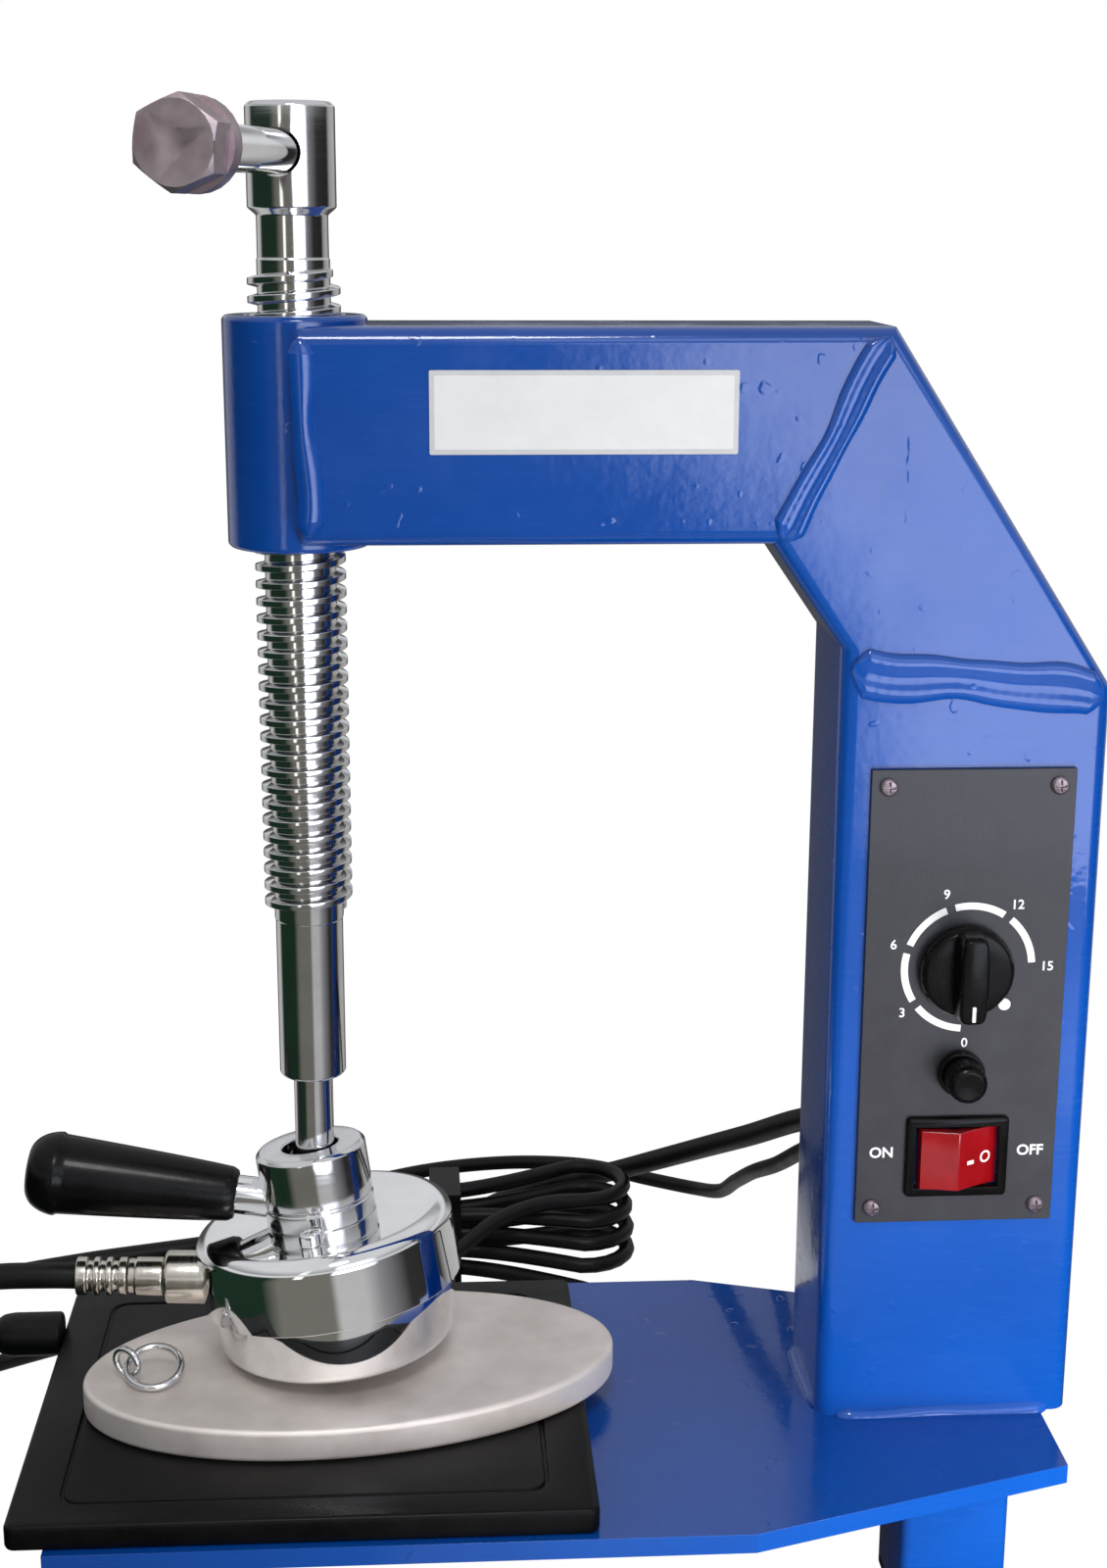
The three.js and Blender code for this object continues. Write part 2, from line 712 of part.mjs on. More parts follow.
function baseAndLegs(group) {
  const holes = lowerBoltPlaces().map(([x, y]) =>
    rod(lowerBoltRadius + seatGap, -overrun, baseThickness + overrun, 0, 12).translate(x, y, -baseThickness),
  );
  const plate = slab(baseOutline(), baseThickness).translate(0, 0, -baseThickness);
  place("base_plate", cut(plate, ...holes), bluePaint, group);
  for (const [corner, x, y] of legPlaces()) {
    const leg = hollowTube(legSide, legSide, legCorner, legWall, legLength)
      .translate(x, y, -baseThickness - legLength);
    place("leg_" + corner, leg, bluePaint, group);
    const insertSide = legSide - 2 * legWall - 2 * seatGap;
    const insert = cut(
      slab(roundedOutline(insertSide, insertSide, legCorner - legWall / 2), capPlugDepth + capFlange / 2)
        .translate(0, 0, capFlange / 2),
      block(insertSide - 2 * capPlugWall, insertSide - 2 * capPlugWall, capPlugDepth + overrun)
        .translate(0, 0, capFlange),
    );
    const cap = join(slab(roundedOutline(legSide, legSide, legCorner), capFlange), insert);
    place("foot_cap_" + corner, cap.translate(x, y, benchZ), rubber, group);
  }
}

// Control panel with timer, fuse and rocker switch

function panelCorners() {
  const [dx, dz] = [panelWidth / 2 - panelInset, panelHeight / 2 - panelInset];
  return [-1, 1].flatMap((sx) => [-1, 1].map((sz) => [panelMiddleX + sx * dx, panelMiddleZ + sz * dz]));
}

// Stands a form drawn along +Z on the panel, so that its +Z points out of the panel's face.
const onPanel = (geometry, x, z) => geometry.rotateX(Math.PI / 2).translate(x, panelFace, z);

function panel(group) {
  const plate = slab(roundedOutline(panelWidth, panelHeight, seatGap), panelThickness, 1)
    .translate(0, 0, -panelThickness);
  onPanel(plate, panelMiddleX, panelMiddleZ);
  const timerHole = onPanel(
    rod(timerShaftRadius + looseFit, -panelThickness - overrun, overrun, 0, smallSides),
    panelMiddleX,
    timerZ,
  );
  const fuseHole = onPanel(
    rod(fuseBodyRadius + seatGap, -panelThickness - overrun, overrun, 0, smallSides),
    panelMiddleX,
    fuseZ,
  );
  const switchHole = onPanel(
    block(switchWidth + 2 * seatGap, switchHeight + 2 * seatGap, panelThickness + 2 * overrun)
      .translate(0, 0, -panelThickness - overrun),
    panelMiddleX,
    switchZ,
  );
  const screwHoles = panelCorners().map(([x, z]) =>
    onPanel(rod(panelScrewShank + seatGap, -panelThickness - overrun, overrun, 0, 8), x, z),
  );
  place("control_panel", cut(plate, timerHole, fuseHole, switchHole, ...screwHoles), panelGrey, group);

  panelCorners().forEach(([x, z], i) => {
    const head = turned([
      [0, 0],
      [panelScrewHead, 0],
      [panelScrewHead, panelScrewHeadHeight * 0.4],
      [panelScrewHead * 0.8, panelScrewHeadHeight * 0.85],
      [panelScrewHead * 0.4, panelScrewHeadHeight],
      [0, panelScrewHeadHeight],
    ], 12);
    const shank = rod(panelScrewShank, -panelScrewLength, panelScrewHeadHeight / 2, 0, 8);
    const cross = [0, Math.PI / 2].map((turn) =>
      block(2 * recessSpan, recessWidth, recessDepth + overrun)
        .rotateZ(turn)
        .translate(0, 0, panelScrewHeadHeight - recessDepth),
    );
    place("panel_screw_" + (i + 1), onPanel(cut(join(head, shank), ...cross), x, z), darkSteel, group);
  });
}

function timer(group) {
  const body = onPanel(
    cut(
      slab(roundedOutline(timerSide, timerSide, windowCorner), timerDepth)
        .translate(0, 0, -timerDepth - panelThickness),
      rod(timerShaftRadius + looseFit, -timerDepth + overrun, overrun, 0, smallSides),
    ),
    panelMiddleX,
    timerZ,
  );
  place("timer_body", body, steel, group);
  const skirt = turned([
    [0, seatGap * 2],
    [knobRadius, seatGap * 2],
    [knobRadius, knobSkirt],
    [knobRadius - knobTaper, knobCrown],
    [0, knobCrown],
  ]);
  const grip = new THREE.ExtrudeGeometry(
    roundedOutline(knobBarWidth, 2 * knobRadius - knobTaper, knobBarWidth / 3),
    {
      depth: knobBarHeight - knobSkirt - knobBarTaper,
      bevelEnabled: true,
      bevelThickness: knobBarTaper,
      bevelSize: knobBarTaper / 2,
      bevelOffset: -knobBarTaper / 2,
      bevelSegments: 2,
      curveSegments: 2,
    },
  ).translate(0, 0, knobSkirt);
  const shaft = rod(timerShaftRadius, -timerDepth / 2, knobSkirt, 0, smallSides);
  place("timer_knob", onPanel(join(skirt, grip, shaft), panelMiddleX, timerZ), blackPlastic, group);
}

function fuse(group) {
  const bore = fuseRadius + fuseWall / 4;
  const holder = cut(
    join(
      rod(fuseCollarRadius, 0, fuseCollarHeight, fuseCapChamfer / 2, 24),
      rod(fuseBodyRadius, -fuseBodyDepth, fuseCollarHeight / 2, 0, 24),
    ),
    rod(fuseBodyRadius - fuseWall, -fuseBodyDepth + fuseWall, fuseCollarHeight + overrun, 0, 24),
  );
  place("fuse_holder", onPanel(holder, panelMiddleX, fuseZ), blackPlastic, group);
  const capStart = fuseCollarHeight + seatGap;
  const cap = cut(
    join(
      rod(fuseCapRadius, capStart, capStart + fuseCapHeight, fuseCapChamfer, 24),
      rod(fuseBodyRadius - fuseWall - seatGap, -fuseWall, capStart + fuseCapHeight / 2, 0, 24),
    ),
    rod(bore, -fuseWall - overrun, capStart + fuseWall, 0, smallSides),
    block(2 * fuseCapRadius + overrun, fuseSlotWidth, fuseSlotDepth + overrun)
      .translate(0, 0, capStart + fuseCapHeight - fuseSlotDepth),
  );
  place("fuse_cap", onPanel(cap, panelMiddleX, fuseZ), blackPlastic, group);
  const fuseTop = capStart + fuseWall - seatGap;
  const glassFuse = rod(fuseRadius, fuseTop - fuseLength, fuseTop, 0, 16);
  place("glass_fuse", onPanel(glassFuse, panelMiddleX, fuseZ), glass, group);
}

function rockerSwitch(group) {
  const room = block(rockerWidth + 2 * looseFit, rockerHeight + 2 * seatGap, rockerRoot + bezelProud + overrun)
    .translate(0, 0, -rockerRoot);
  const bezel = edgedSlab(roundedOutline(bezelWidth, bezelHeight, bezelRound), 2 * bezelProud, bezelProud / 2, 2)
    .translate(0, 0, -bezelProud);
  const aboveFace = block(2 * bezelWidth, 2 * bezelHeight, 2 * bezelProud);
  const body = block(switchWidth, switchHeight, switchDepth + bezelProud / 2).translate(0, 0, -switchDepth);
  const housing = cut(join(common(bezel, aboveFace), body), room);
  place("switch_housing", onPanel(housing, panelMiddleX, switchZ), blackPlastic, group);

  // The rocker's ends and ridge, drawn level and then tilted with its right end pressed in.
  const half = rockerWidth / 2;
  const outline = new THREE.Shape([
    new THREE.Vector2(-half, -rockerRoot / 2),
    new THREE.Vector2(half, -rockerRoot / 2),
    new THREE.Vector2(half, bezelProud / 2),
    new THREE.Vector2(half * 0.14, bezelProud / 2 + rockerCrown),
    new THREE.Vector2(-half * 0.14, bezelProud / 2 + rockerCrown),
    new THREE.Vector2(-half, bezelProud / 2),
  ]);
  const rocker = slab(outline, rockerHeight)
    .rotateX(Math.PI / 2)
    .translate(0, rockerHeight / 2, rockerAxisDepth)
    .rotateY(rockerTilt)
    .translate(0, 0, -rockerAxisDepth);
  place("switch_rocker", onPanel(rocker, panelMiddleX, switchZ), redPlastic, group);
}

// Lower heater: a coated plate with a shallow frame groove, and its element in a pocket below

function lowerHeater(group) {
  const outline = roundedOutline(lowerWidth, lowerDepth, lowerCorner);
  const plate = edgedSlab(outline, lowerHeight, lowerEdge);
  const grooveOuter = roundedOutline(grooveSpanX + grooveWidth, grooveSpanY + grooveWidth, grooveCorner);
  grooveOuter.holes.push(
    roundedOutline(grooveSpanX - grooveWidth, grooveSpanY - grooveWidth, grooveCorner - grooveWidth),
  );
  const groove = slab(grooveOuter, grooveDepth + overrun).translate(0, 0, lowerHeight - grooveDepth);
  const pocket = block(
    lowerWidth - 2 * elementInset + 2 * seatGap,
    lowerDepth - 2 * elementInset + 2 * seatGap,
    elementThickness + seatGap + overrun,
  ).translate(0, 0, -overrun);
  const boltHoles = lowerBoltPlaces().map(([x, y]) =>
    rod(lowerBoltRadius + seatGap, 0, lowerBoltLength - baseThickness + seatGap, 0, 12)
      .translate(x - lowerMiddleX, y - lowerMiddleY, 0),
  );
  place("lower_heater_plate", cut(plate, groove, pocket, ...boltHoles), blackPaint, group)
    .position.set(lowerMiddleX, lowerMiddleY, 0);

  const element = block(lowerWidth - 2 * elementInset, lowerDepth - 2 * elementInset, elementThickness);
  const clear = lowerBoltPlaces().map(([x, y]) =>
    rod(lowerBoltRadius + looseFit, -overrun, elementThickness + overrun, 0, 12)
      .translate(x - lowerMiddleX, y - lowerMiddleY, 0),
  );
  place("lower_heating_element", cut(element, ...clear), mica, group)
    .position.set(lowerMiddleX, lowerMiddleY, 0);

  lowerBoltPlaces().forEach(([x, y], i) => {
    const bolt = join(
      rod(lowerBoltHead, -baseThickness - lowerBoltHeadHeight, -baseThickness, 0, 6),
      rod(lowerBoltRadius, -baseThickness - lowerBoltHeadHeight / 2, lowerBoltLength - baseThickness, 0, 12),
    );
    place("heater_bolt_" + (i + 1), bolt.translate(x, y, 0), steel, group);
  });

  // A thick rubber sleeve takes the cable out of the left side.
  const boot = turned([
    [0, seatGap],
    [lowerBootRadius, seatGap],
    [lowerBootRadius, lowerBootLength - lowerBootRadius / 2],
    [lowerBootRadius * 0.62, lowerBootLength],
    [0, lowerBootLength],
  ], 24);
  pointing(boot, new THREE.Vector3(-1, 0, 0))
    .translate(lowerMiddleX - lowerWidth / 2, lowerBootY, lowerBootZ);
  place("lower_cable_boot", boot, rubber, group);
}

// Loose oval plate that spreads the pressure, with a small eye and a pull ring

function ovalPlate(group) {
  const outline = new THREE.Shape();
  outline.absellipse(0, 0, ovalHalfLength, ovalHalfWidth, 0, 2 * Math.PI, false, 0);
  const holder = new THREE.Group();
  holder.position.set(ovalMiddleX, ovalMiddleY, lowerTop);
  holder.rotation.z = ovalTurn;
  group.add(holder);
  place("pressing_plate", edgedSlab(outline, ovalHeight, ovalEdge, 28), aluminium, holder);

  const eye = new THREE.TorusGeometry(eyeRadius, wireRadius, 6, 16);
  const eyeMesh = place("plate_eye", eye, steel, group);
  eyeMesh.rotation.set(Math.PI / 2, 0, eyeTurn, "ZXY");
  eyeMesh.position.set(eyeX, eyeY, ovalTop + seatGap + eyeRadius + wireRadius);

  // The pull ring passes through the middle of the eye and lies over to its right.
  const link = new THREE.TorusGeometry(linkRadius, wireRadius, 6, 24);
  const linkMesh = place("pull_ring", link, steel, group);
  linkMesh.rotation.set(linkLean, 0, 0);
  linkMesh.position.set(
    eyeX + linkRadius,
    eyeY,
    ovalTop + seatGap + wireRadius + linkRadius * Math.sin(linkLean),
  );
}

// Swivel under the spindle: a thrust washer on a round-bottomed seat

function swivelSeat(group) {
  place("thrust_washer", rod(washerRadius, washerBottom, washerBottom + washerThickness, 0, 24), bronze, group);
  const low = pivotZ - seatSphere;
  const profile = [];
  const arc = 5;
  const reach = Math.asin(seatRadius / seatSphere);
  for (let i = 0; i <= arc; i++) {
    const angle = (reach * i) / arc;
    profile.push([seatSphere * Math.sin(angle), pivotZ - seatSphere * Math.cos(angle)]);
  }
  profile.push([seatRadius, low + seatHeight], [0, low + seatHeight]);
  place("ball_seat", turned(profile, 20), steel, group);
}

// Upper heater. A cup-shaped cover turns about the centre of the round seat, and its forms are drawn
// level round that point. The block below it hangs in the cup and leans less.

function leaning(tilt, position) {
  const group = new THREE.Group();
  group.position.copy(position);
  group.quaternion.setFromAxisAngle(leanAxis.clone().normalize(), tilt);
  return group;
}

function upperHeater(group) {
  const tilted = leaning(coverTilt, new THREE.Vector3(0, 0, pivotZ));
  group.add(tilted);
  const top = -pivotRise;
  const seam = top - coverHeight;

  const rimArc = [];
  for (let i = 0; i <= 5; i++) {
    const angle = (Math.PI / 2) * (i / 5);
    rimArc.push([
      heaterRadius - coverRim + coverRim * Math.cos(angle),
      top - coverRim + coverRim * Math.sin(angle),
    ]);
  }
  const cup = turned([
    [0, seam + coverCavityDepth],
    [heaterRadius - coverWall, seam + coverCavityDepth],
    [heaterRadius - coverWall, seam],
    [heaterRadius - coverEdge / 2, seam],
    [heaterRadius, seam + coverEdge / 2],
    ...rimArc,
    [0, top],
  ], 40);
  const sphere = new THREE.SphereGeometry(seatSphere + seatGap, 20, 14).rotateX(Math.PI / 2);
  const screwHoles = capScrewPlaces.map(([x, y]) =>
    rod(capScrewShank + seatGap, top - capScrewLength - seatGap, top + overrun, 0, 10).translate(x, y, 0),
  );
  const nutPlace = (geometry) =>
    pointing(geometry, plugDirection).translate(-heaterRadius, 0, seam + plugRaise);
  const socketRoom = nutPlace(rod(nutRadius + seatGap, -2 * nutSink, nutLength, 0, 24));
  place("heater_upper_cover", cut(cup, sphere, ...screwHoles, socketRoom), chrome, tilted);

  const seamCentre = new THREE.Vector3(0, 0, seam).applyQuaternion(tilted.quaternion).add(tilted.position);
  const hung = leaning(footTilt, seamCentre);
  group.add(hung);
  const socketInFoot = socketRoom.clone()
    .applyQuaternion(tilted.quaternion)
    .translate(...tilted.position.clone().sub(seamCentre).toArray())
    .applyQuaternion(hung.quaternion.clone().invert());
  const foot = turned([
    [0, -footHeight],
    [footBottomRadius - footRounding, -footHeight],
    [footBottomRadius - footRounding * 0.3, -footHeight + footRounding * 0.3],
    [footBottomRadius, -footHeight + footRounding],
    [footRadius, 0],
    [footRadius, footRise],
    [0, footRise],
  ], 40);
  const elementRoom = ring(
    elementOuter + seatGap,
    elementInner - seatGap,
    footRise - elementDepth - seatGap,
    footRise + overrun,
    32,
  );
  place("heater_lower_block", cut(foot, elementRoom, socketInFoot), chrome, hung);
  const element = ring(elementOuter, elementInner, footRise - elementDepth, footRise, 32);
  place("upper_heating_element", cut(element, socketInFoot), mica, hung);

  capScrewPlaces.forEach(([x, y], i) => {
    const socket = new THREE.CylinderGeometry(capScrewSocket, capScrewSocket, capScrewSocketDepth + overrun, 6)
      .rotateX(Math.PI / 2)
      .translate(0, 0, top + capScrewHeight - capScrewSocketDepth / 2 + overrun / 2);
    const screw = cut(
      join(
        rod(capScrewRadius, top, top + capScrewHeight, capScrewRadius / 8, 20),
        rod(capScrewShank, top - capScrewLength, top + capScrewHeight / 2, 0, 10),
      ),
      socket,
    );
    place("cover_screw_" + (i + 1), screw.translate(x, y, 0), chrome, tilted);
  });

  // Swivel block: bored for the spindle's neck, hollowed for its collar
  const blockBody = rod(blockRadius, top, top + blockHeight, blockChamfer);
  const hollow = rod(blockCavity, top - overrun, top + blockCavityDepth, 0, 28);
  const bore = rod(blockBore, top, top + blockHeight + overrun, 0, 28);
  const rodHole = handlePlace(rod(handleRodRadius + seatGap, -handleSink - seatGap, handleRodLength, 0, 20), top);
  place("swivel_block", cut(blockBody, hollow, bore, rodHole), steel, tilted);

  const handleRod = handlePlace(rod(handleRodRadius, -handleSink, handleRodLength, 0, 20), top);
  place("handle_rod", handleRod, chrome, tilted);
  const gripEnd = gripStart + gripLength;
  const grip = turned([
    [0, gripStart],
    [gripInner * 0.86, gripStart],
    [gripInner, gripStart + gripInner * 0.14],
    [THREE.MathUtils.lerp(gripInner, gripOuter, 0.45), gripStart + gripLength * 0.45],
    [gripOuter, gripEnd - gripOuter * 0.9],
    [gripOuter * 0.97, gripEnd - gripOuter * 0.45],
    [gripOuter * 0.8, gripEnd - gripOuter * 0.14],
    [gripOuter * 0.5, gripEnd],
    [0, gripEnd],
  ], 28);
  const gripHole = rod(handleRodRadius + seatGap, gripStart - overrun, gripStart + gripBore + seatGap * 20, 0, 20);
  place("handle_grip", handlePlace(cut(grip, gripHole), top), blackPlastic, tilted);

  const socket = nutPlace(rod(nutRadius, -nutSink, nutLength, nutRadius / 12, 6 * 4));
  place("heater_socket", socket, steel, tilted);
  const shell = nutPlace(
    rod(shellRadius, nutLength + seatGap, nutLength + seatGap + shellLength, shellRadius / 10, 24),
  );
  place("plug_shell", shell, steel, tilted);
  const bootFrom = nutLength + 2 * seatGap + shellLength;
  const ribs = [[0, bootFrom], [bootRadius, bootFrom]];
  const ribStep = bootLength / bootRings;
  for (let i = 1; i < bootRings; i++) {
    const z = bootFrom + i * ribStep;
    ribs.push(
      [bootRadius, z - ribStep * 0.35],
      [bootRadius - bootRingDepth, z - ribStep * 0.25],
      [bootRadius - bootRingDepth, z + ribStep * 0.1],
      [bootRadius, z + ribStep * 0.2],
    );
  }
  ribs.push([bootRadius, bootFrom + bootLength], [0, bootFrom + bootLength]);
  place("plug_boot", nutPlace(turned(ribs, 16)), steel, tilted);
}

const capScrewPlaces = [-1, 1].map((side) => [side * capScrewRadius / 2, side * capScrewCircle]);
const handleDirection = new THREE.Vector3(-Math.cos(handleRise), 0, Math.sin(handleRise));
const plugDirection = new THREE.Vector3(-Math.cos(plugRise), 0, Math.sin(plugRise));

// The handle leaves the left side of the swivel block, low on its wall.
function handlePlace(geometry, top) {
  return pointing(geometry, handleDirection).translate(-blockRadius, 0, top + blockHeight * 0.36);
}

// Cable grommet and power cord relief on the back of the column

const grommetLip = 1.5;

function grommetOutline(grow) {
  return roundedOutline(grommetWidth + 2 * grow, grommetHeight + 2 * grow, grommetWidth / 2 + grow);
}

function columnOutlets(group) {
  const lip = slab(grommetOutline(0), grommetProud, 4);
  const inner = slab(grommetOutline(-grommetLip + seatGap / 2), tubeWall + grommetProud / 2, 4)
    .translate(0, 0, -tubeWall);
  const outward = (geometry, x, z) => geometry.rotateX(-Math.PI / 2).translate(x, halfDepth, z);
  place("cable_grommet", outward(join(lip, inner), grommetX, grommetZ), rubber, group);
  const relief = turned([
    [0, -tubeWall],
    [reliefBase, -tubeWall],
    [reliefBase, 0],
    [reliefFlange, 0],
    [reliefFlange, reliefFlangeHeight],
    [reliefBase, reliefFlangeHeight],
    [reliefTip, reliefLength],
    [0, reliefLength],
  ], smallSides);
  place("power_cord_relief", outward(relief, reliefX, reliefZ), rubber, group);
}

// Cables. Each tube runs through its centres and is cut square to them at both ends.

const vectors = (points) => points.map((p) => new THREE.Vector3(...p));

// Evenly spaced centres on a smooth curve through hand-laid points
function smooth(points, steps) {
  return new THREE.CatmullRomCurve3(points, false, "centripetal").getSpacedPoints(steps);
}

function tube(centres, radius, sides) {
  const positions = [];
  const index = [];
  const across = new THREE.Vector3(0, 0, 1);
  centres.forEach((centre, i) => {
    const before = centres[Math.max(i - 1, 0)];
    const after = centres[Math.min(i + 1, centres.length - 1)];
    const along = after.clone().sub(before).normalize();
    across.addScaledVector(along, -across.dot(along));
    if (across.length() < seatGap) across.set(1, 0, 0).addScaledVector(along, -along.x);
    across.normalize();
    const up = along.clone().cross(across);
    for (let j = 0; j < sides; j++) {
      const angle = (2 * Math.PI * j) / sides;
      const p = centre.clone()
        .addScaledVector(across, radius * Math.cos(angle))
        .addScaledVector(up, radius * Math.sin(angle));
      positions.push(p.x, p.y, p.z);
    }
  });
  const last = (centres.length - 1) * sides;
  for (let i = 0; i < centres.length - 1; i++) {
    for (let j = 0; j < sides; j++) {
      const [a, b] = [i * sides + j, i * sides + ((j + 1) % sides)];
      index.push(a, b, b + sides, a, b + sides, a + sides);
    }
  }
  for (let j = 1; j < sides - 1; j++) {
    index.push(0, j + 1, j, last, last + j, last + j + 1);
  }
  const geometry = new THREE.BufferGeometry();
  geometry.setAttribute("position", new THREE.Float32BufferAttribute(positions, 3));
  geometry.setIndex(index);
  geometry.computeVertexNormals();
  return geometry;
}

// Routes of the two heater cables and of the power cord. From the grommet both heater cables drop
// to the bench behind the base, cross over on it and come forward round the left side.

const heaterCableRoute = [
  [-104, 0.5, 41], [-124, 4, 34], [-146, 18, 18], [-164, 52, -10], [-170, 96, -33], [-160, 138, -41],
  [-133, 166, -41.8], [-104, 178, -41.8], [-50, 193, -41.8], [-20, 204, -41.8], [8, 210, -41.8], [34, 211, -41.8],
  [52, 216, -41.8], [68, 231, -41.8], [84, 243, -41.4], [99, 236, -36], [111, 210, -21.4], [125, 172, 0.1],
  [139, 136, 20.8], [151, 102, 40], [163, 74, 57], [168, 46, 69.4],
];
const plateCableRoute = [
  [-116, 28, 6.8], [-128, 30, 0], [-142, 42, -16], [-146, 66, -34], [-132, 94, -42.4], [-100, 113, -42.5],
  [-64, 130, -42.5], [-56, 158, -42], [-47, 192, -34.2], [-28, 226, -41.4], [4, 248, -42.5], [34, 262, -42.5],
  [62, 268, -42.5], [84, 268, -42.5], [106, 263, -42.5], [130, 248, -42.5], [148, 238, -42.6], [156, 220, -36],
  [159, 190, -18], [160, 150, 4], [163, 116, 22], [166, 80, 43], [168, 46, 61],
];
const powerCordRoute = [
  [193.3, 62, 28.4], [193.3, 78, 17], [192, 93, -5], [188, 108, -28], [178, 122, -41.5], [164, 133, -42.8],
  [146, 140, -42.8], [124, 143, -42.4],
];
const plugTailRoute = [
  [80, 160.5, -12.3], [62, 152, -14.5], [46, 138, -20], [31, 121, -25.5], [14, 103, -28.4], [-4, 93, -28.8],
];

function heaterCables(group) {
  const bootEnd = nutLength + shellLength + bootLength + 3 * seatGap;
  const start = new THREE.Vector3(...plugDirection)
    .multiplyScalar(bootEnd)
    .add(new THREE.Vector3(-heaterRadius, 0, plugRaise - coverHeight - pivotRise));
  const lean = new THREE.Quaternion().setFromAxisAngle(leanAxis.clone().normalize(), coverTilt);
  start.applyQuaternion(lean).add(new THREE.Vector3(0, 0, pivotZ));
  const leaving = new THREE.Vector3(...plugDirection).applyQuaternion(lean);
  const grommetEnd = (side) => new THREE.Vector3(
    grommetX,
    halfDepth + grommetProud + seatGap,
    grommetZ + (side * cablePairStep) / 2,
  );
  const straight = start.clone().addScaledVector(leaving, 2 * heaterCableRadius);
  const upper = smooth([start, straight, ...vectors(heaterCableRoute), grommetEnd(1)], 54);
  place("upper_heater_cable", tube(upper, heaterCableRadius, 8), rubber, group);
  const bootTip = new THREE.Vector3(
    lowerMiddleX - lowerWidth / 2 - lowerBootLength - seatGap,
    lowerBootY,
    lowerBootZ,
  );
  const lower = smooth([bootTip, ...vectors(plateCableRoute), grommetEnd(-1)], 62);
  place("lower_heater_cable", tube(lower, plateCableRadius, 8), rubber, group);
  console.log("upper heater cable from " + start.toArray().map((v) => v.toFixed(1)).join(" "));
}

// The hank: a lap is a run out at the back, a bend on the right, a run home at the front and a bend
// on the left. Each lap lies on the one before and is turned a little, and all are drawn in alike
// where the tie is.
function hankPoint(turns) {
  const bend = Math.PI * hankHalfWidth;
  const half = hankRun / 2;
  const side = Math.floor(2 * turns) % 2 === 0 ? 1 : -1; // 1 on the way to the right
  const s = (2 * turns - Math.floor(2 * turns)) * (hankRun + bend);
  let x = side * (s - half);
  let y = side * hankHalfWidth;
  if (s > hankRun) {
    const angle = (s - hankRun) / hankHalfWidth;
    x = side * (half + hankHalfWidth * Math.sin(angle));
    y = side * hankHalfWidth * Math.cos(angle);
  }
  const waist = Math.abs(x) < half ? Math.cos((Math.PI * x) / hankRun) : 0;
  y *= 1 - hankWaistShare * waist;
  const share = (turns - hankStart) / hankTurns;
  const angle = THREE.MathUtils.lerp(hankStartAngle, hankEndAngle, share);
  return new THREE.Vector3(
    hankMiddleX + x * Math.cos(angle) - y * Math.sin(angle),
    hankMiddleY + x * Math.sin(angle) + y * Math.cos(angle),
    hankFloor + powerCordRadius + hankRise * (turns - hankStart),
  );
}

const hankFloor = benchZ + benchClearance + tieThickness + seatGap;

// Centres of the hank: few along the runs and more round the bends
function hankCentres() {
  const bend = Math.PI * hankHalfWidth;
  const shares = [];
  for (let i = 0; i < hankRunSteps; i++) shares.push((hankRun * i) / hankRunSteps);
  for (let i = 0; i < hankBendSteps; i++) shares.push(hankRun + (bend * i) / hankBendSteps);
  const centres = [];
  for (let half = 0; half < 2 * hankTurns; half++) {
    shares.forEach((s) => centres.push(hankPoint(hankStart + (half + s / (hankRun + bend)) / 2)));
  }
  centres.push(hankPoint(hankStart + hankTurns));
  return centres;
}

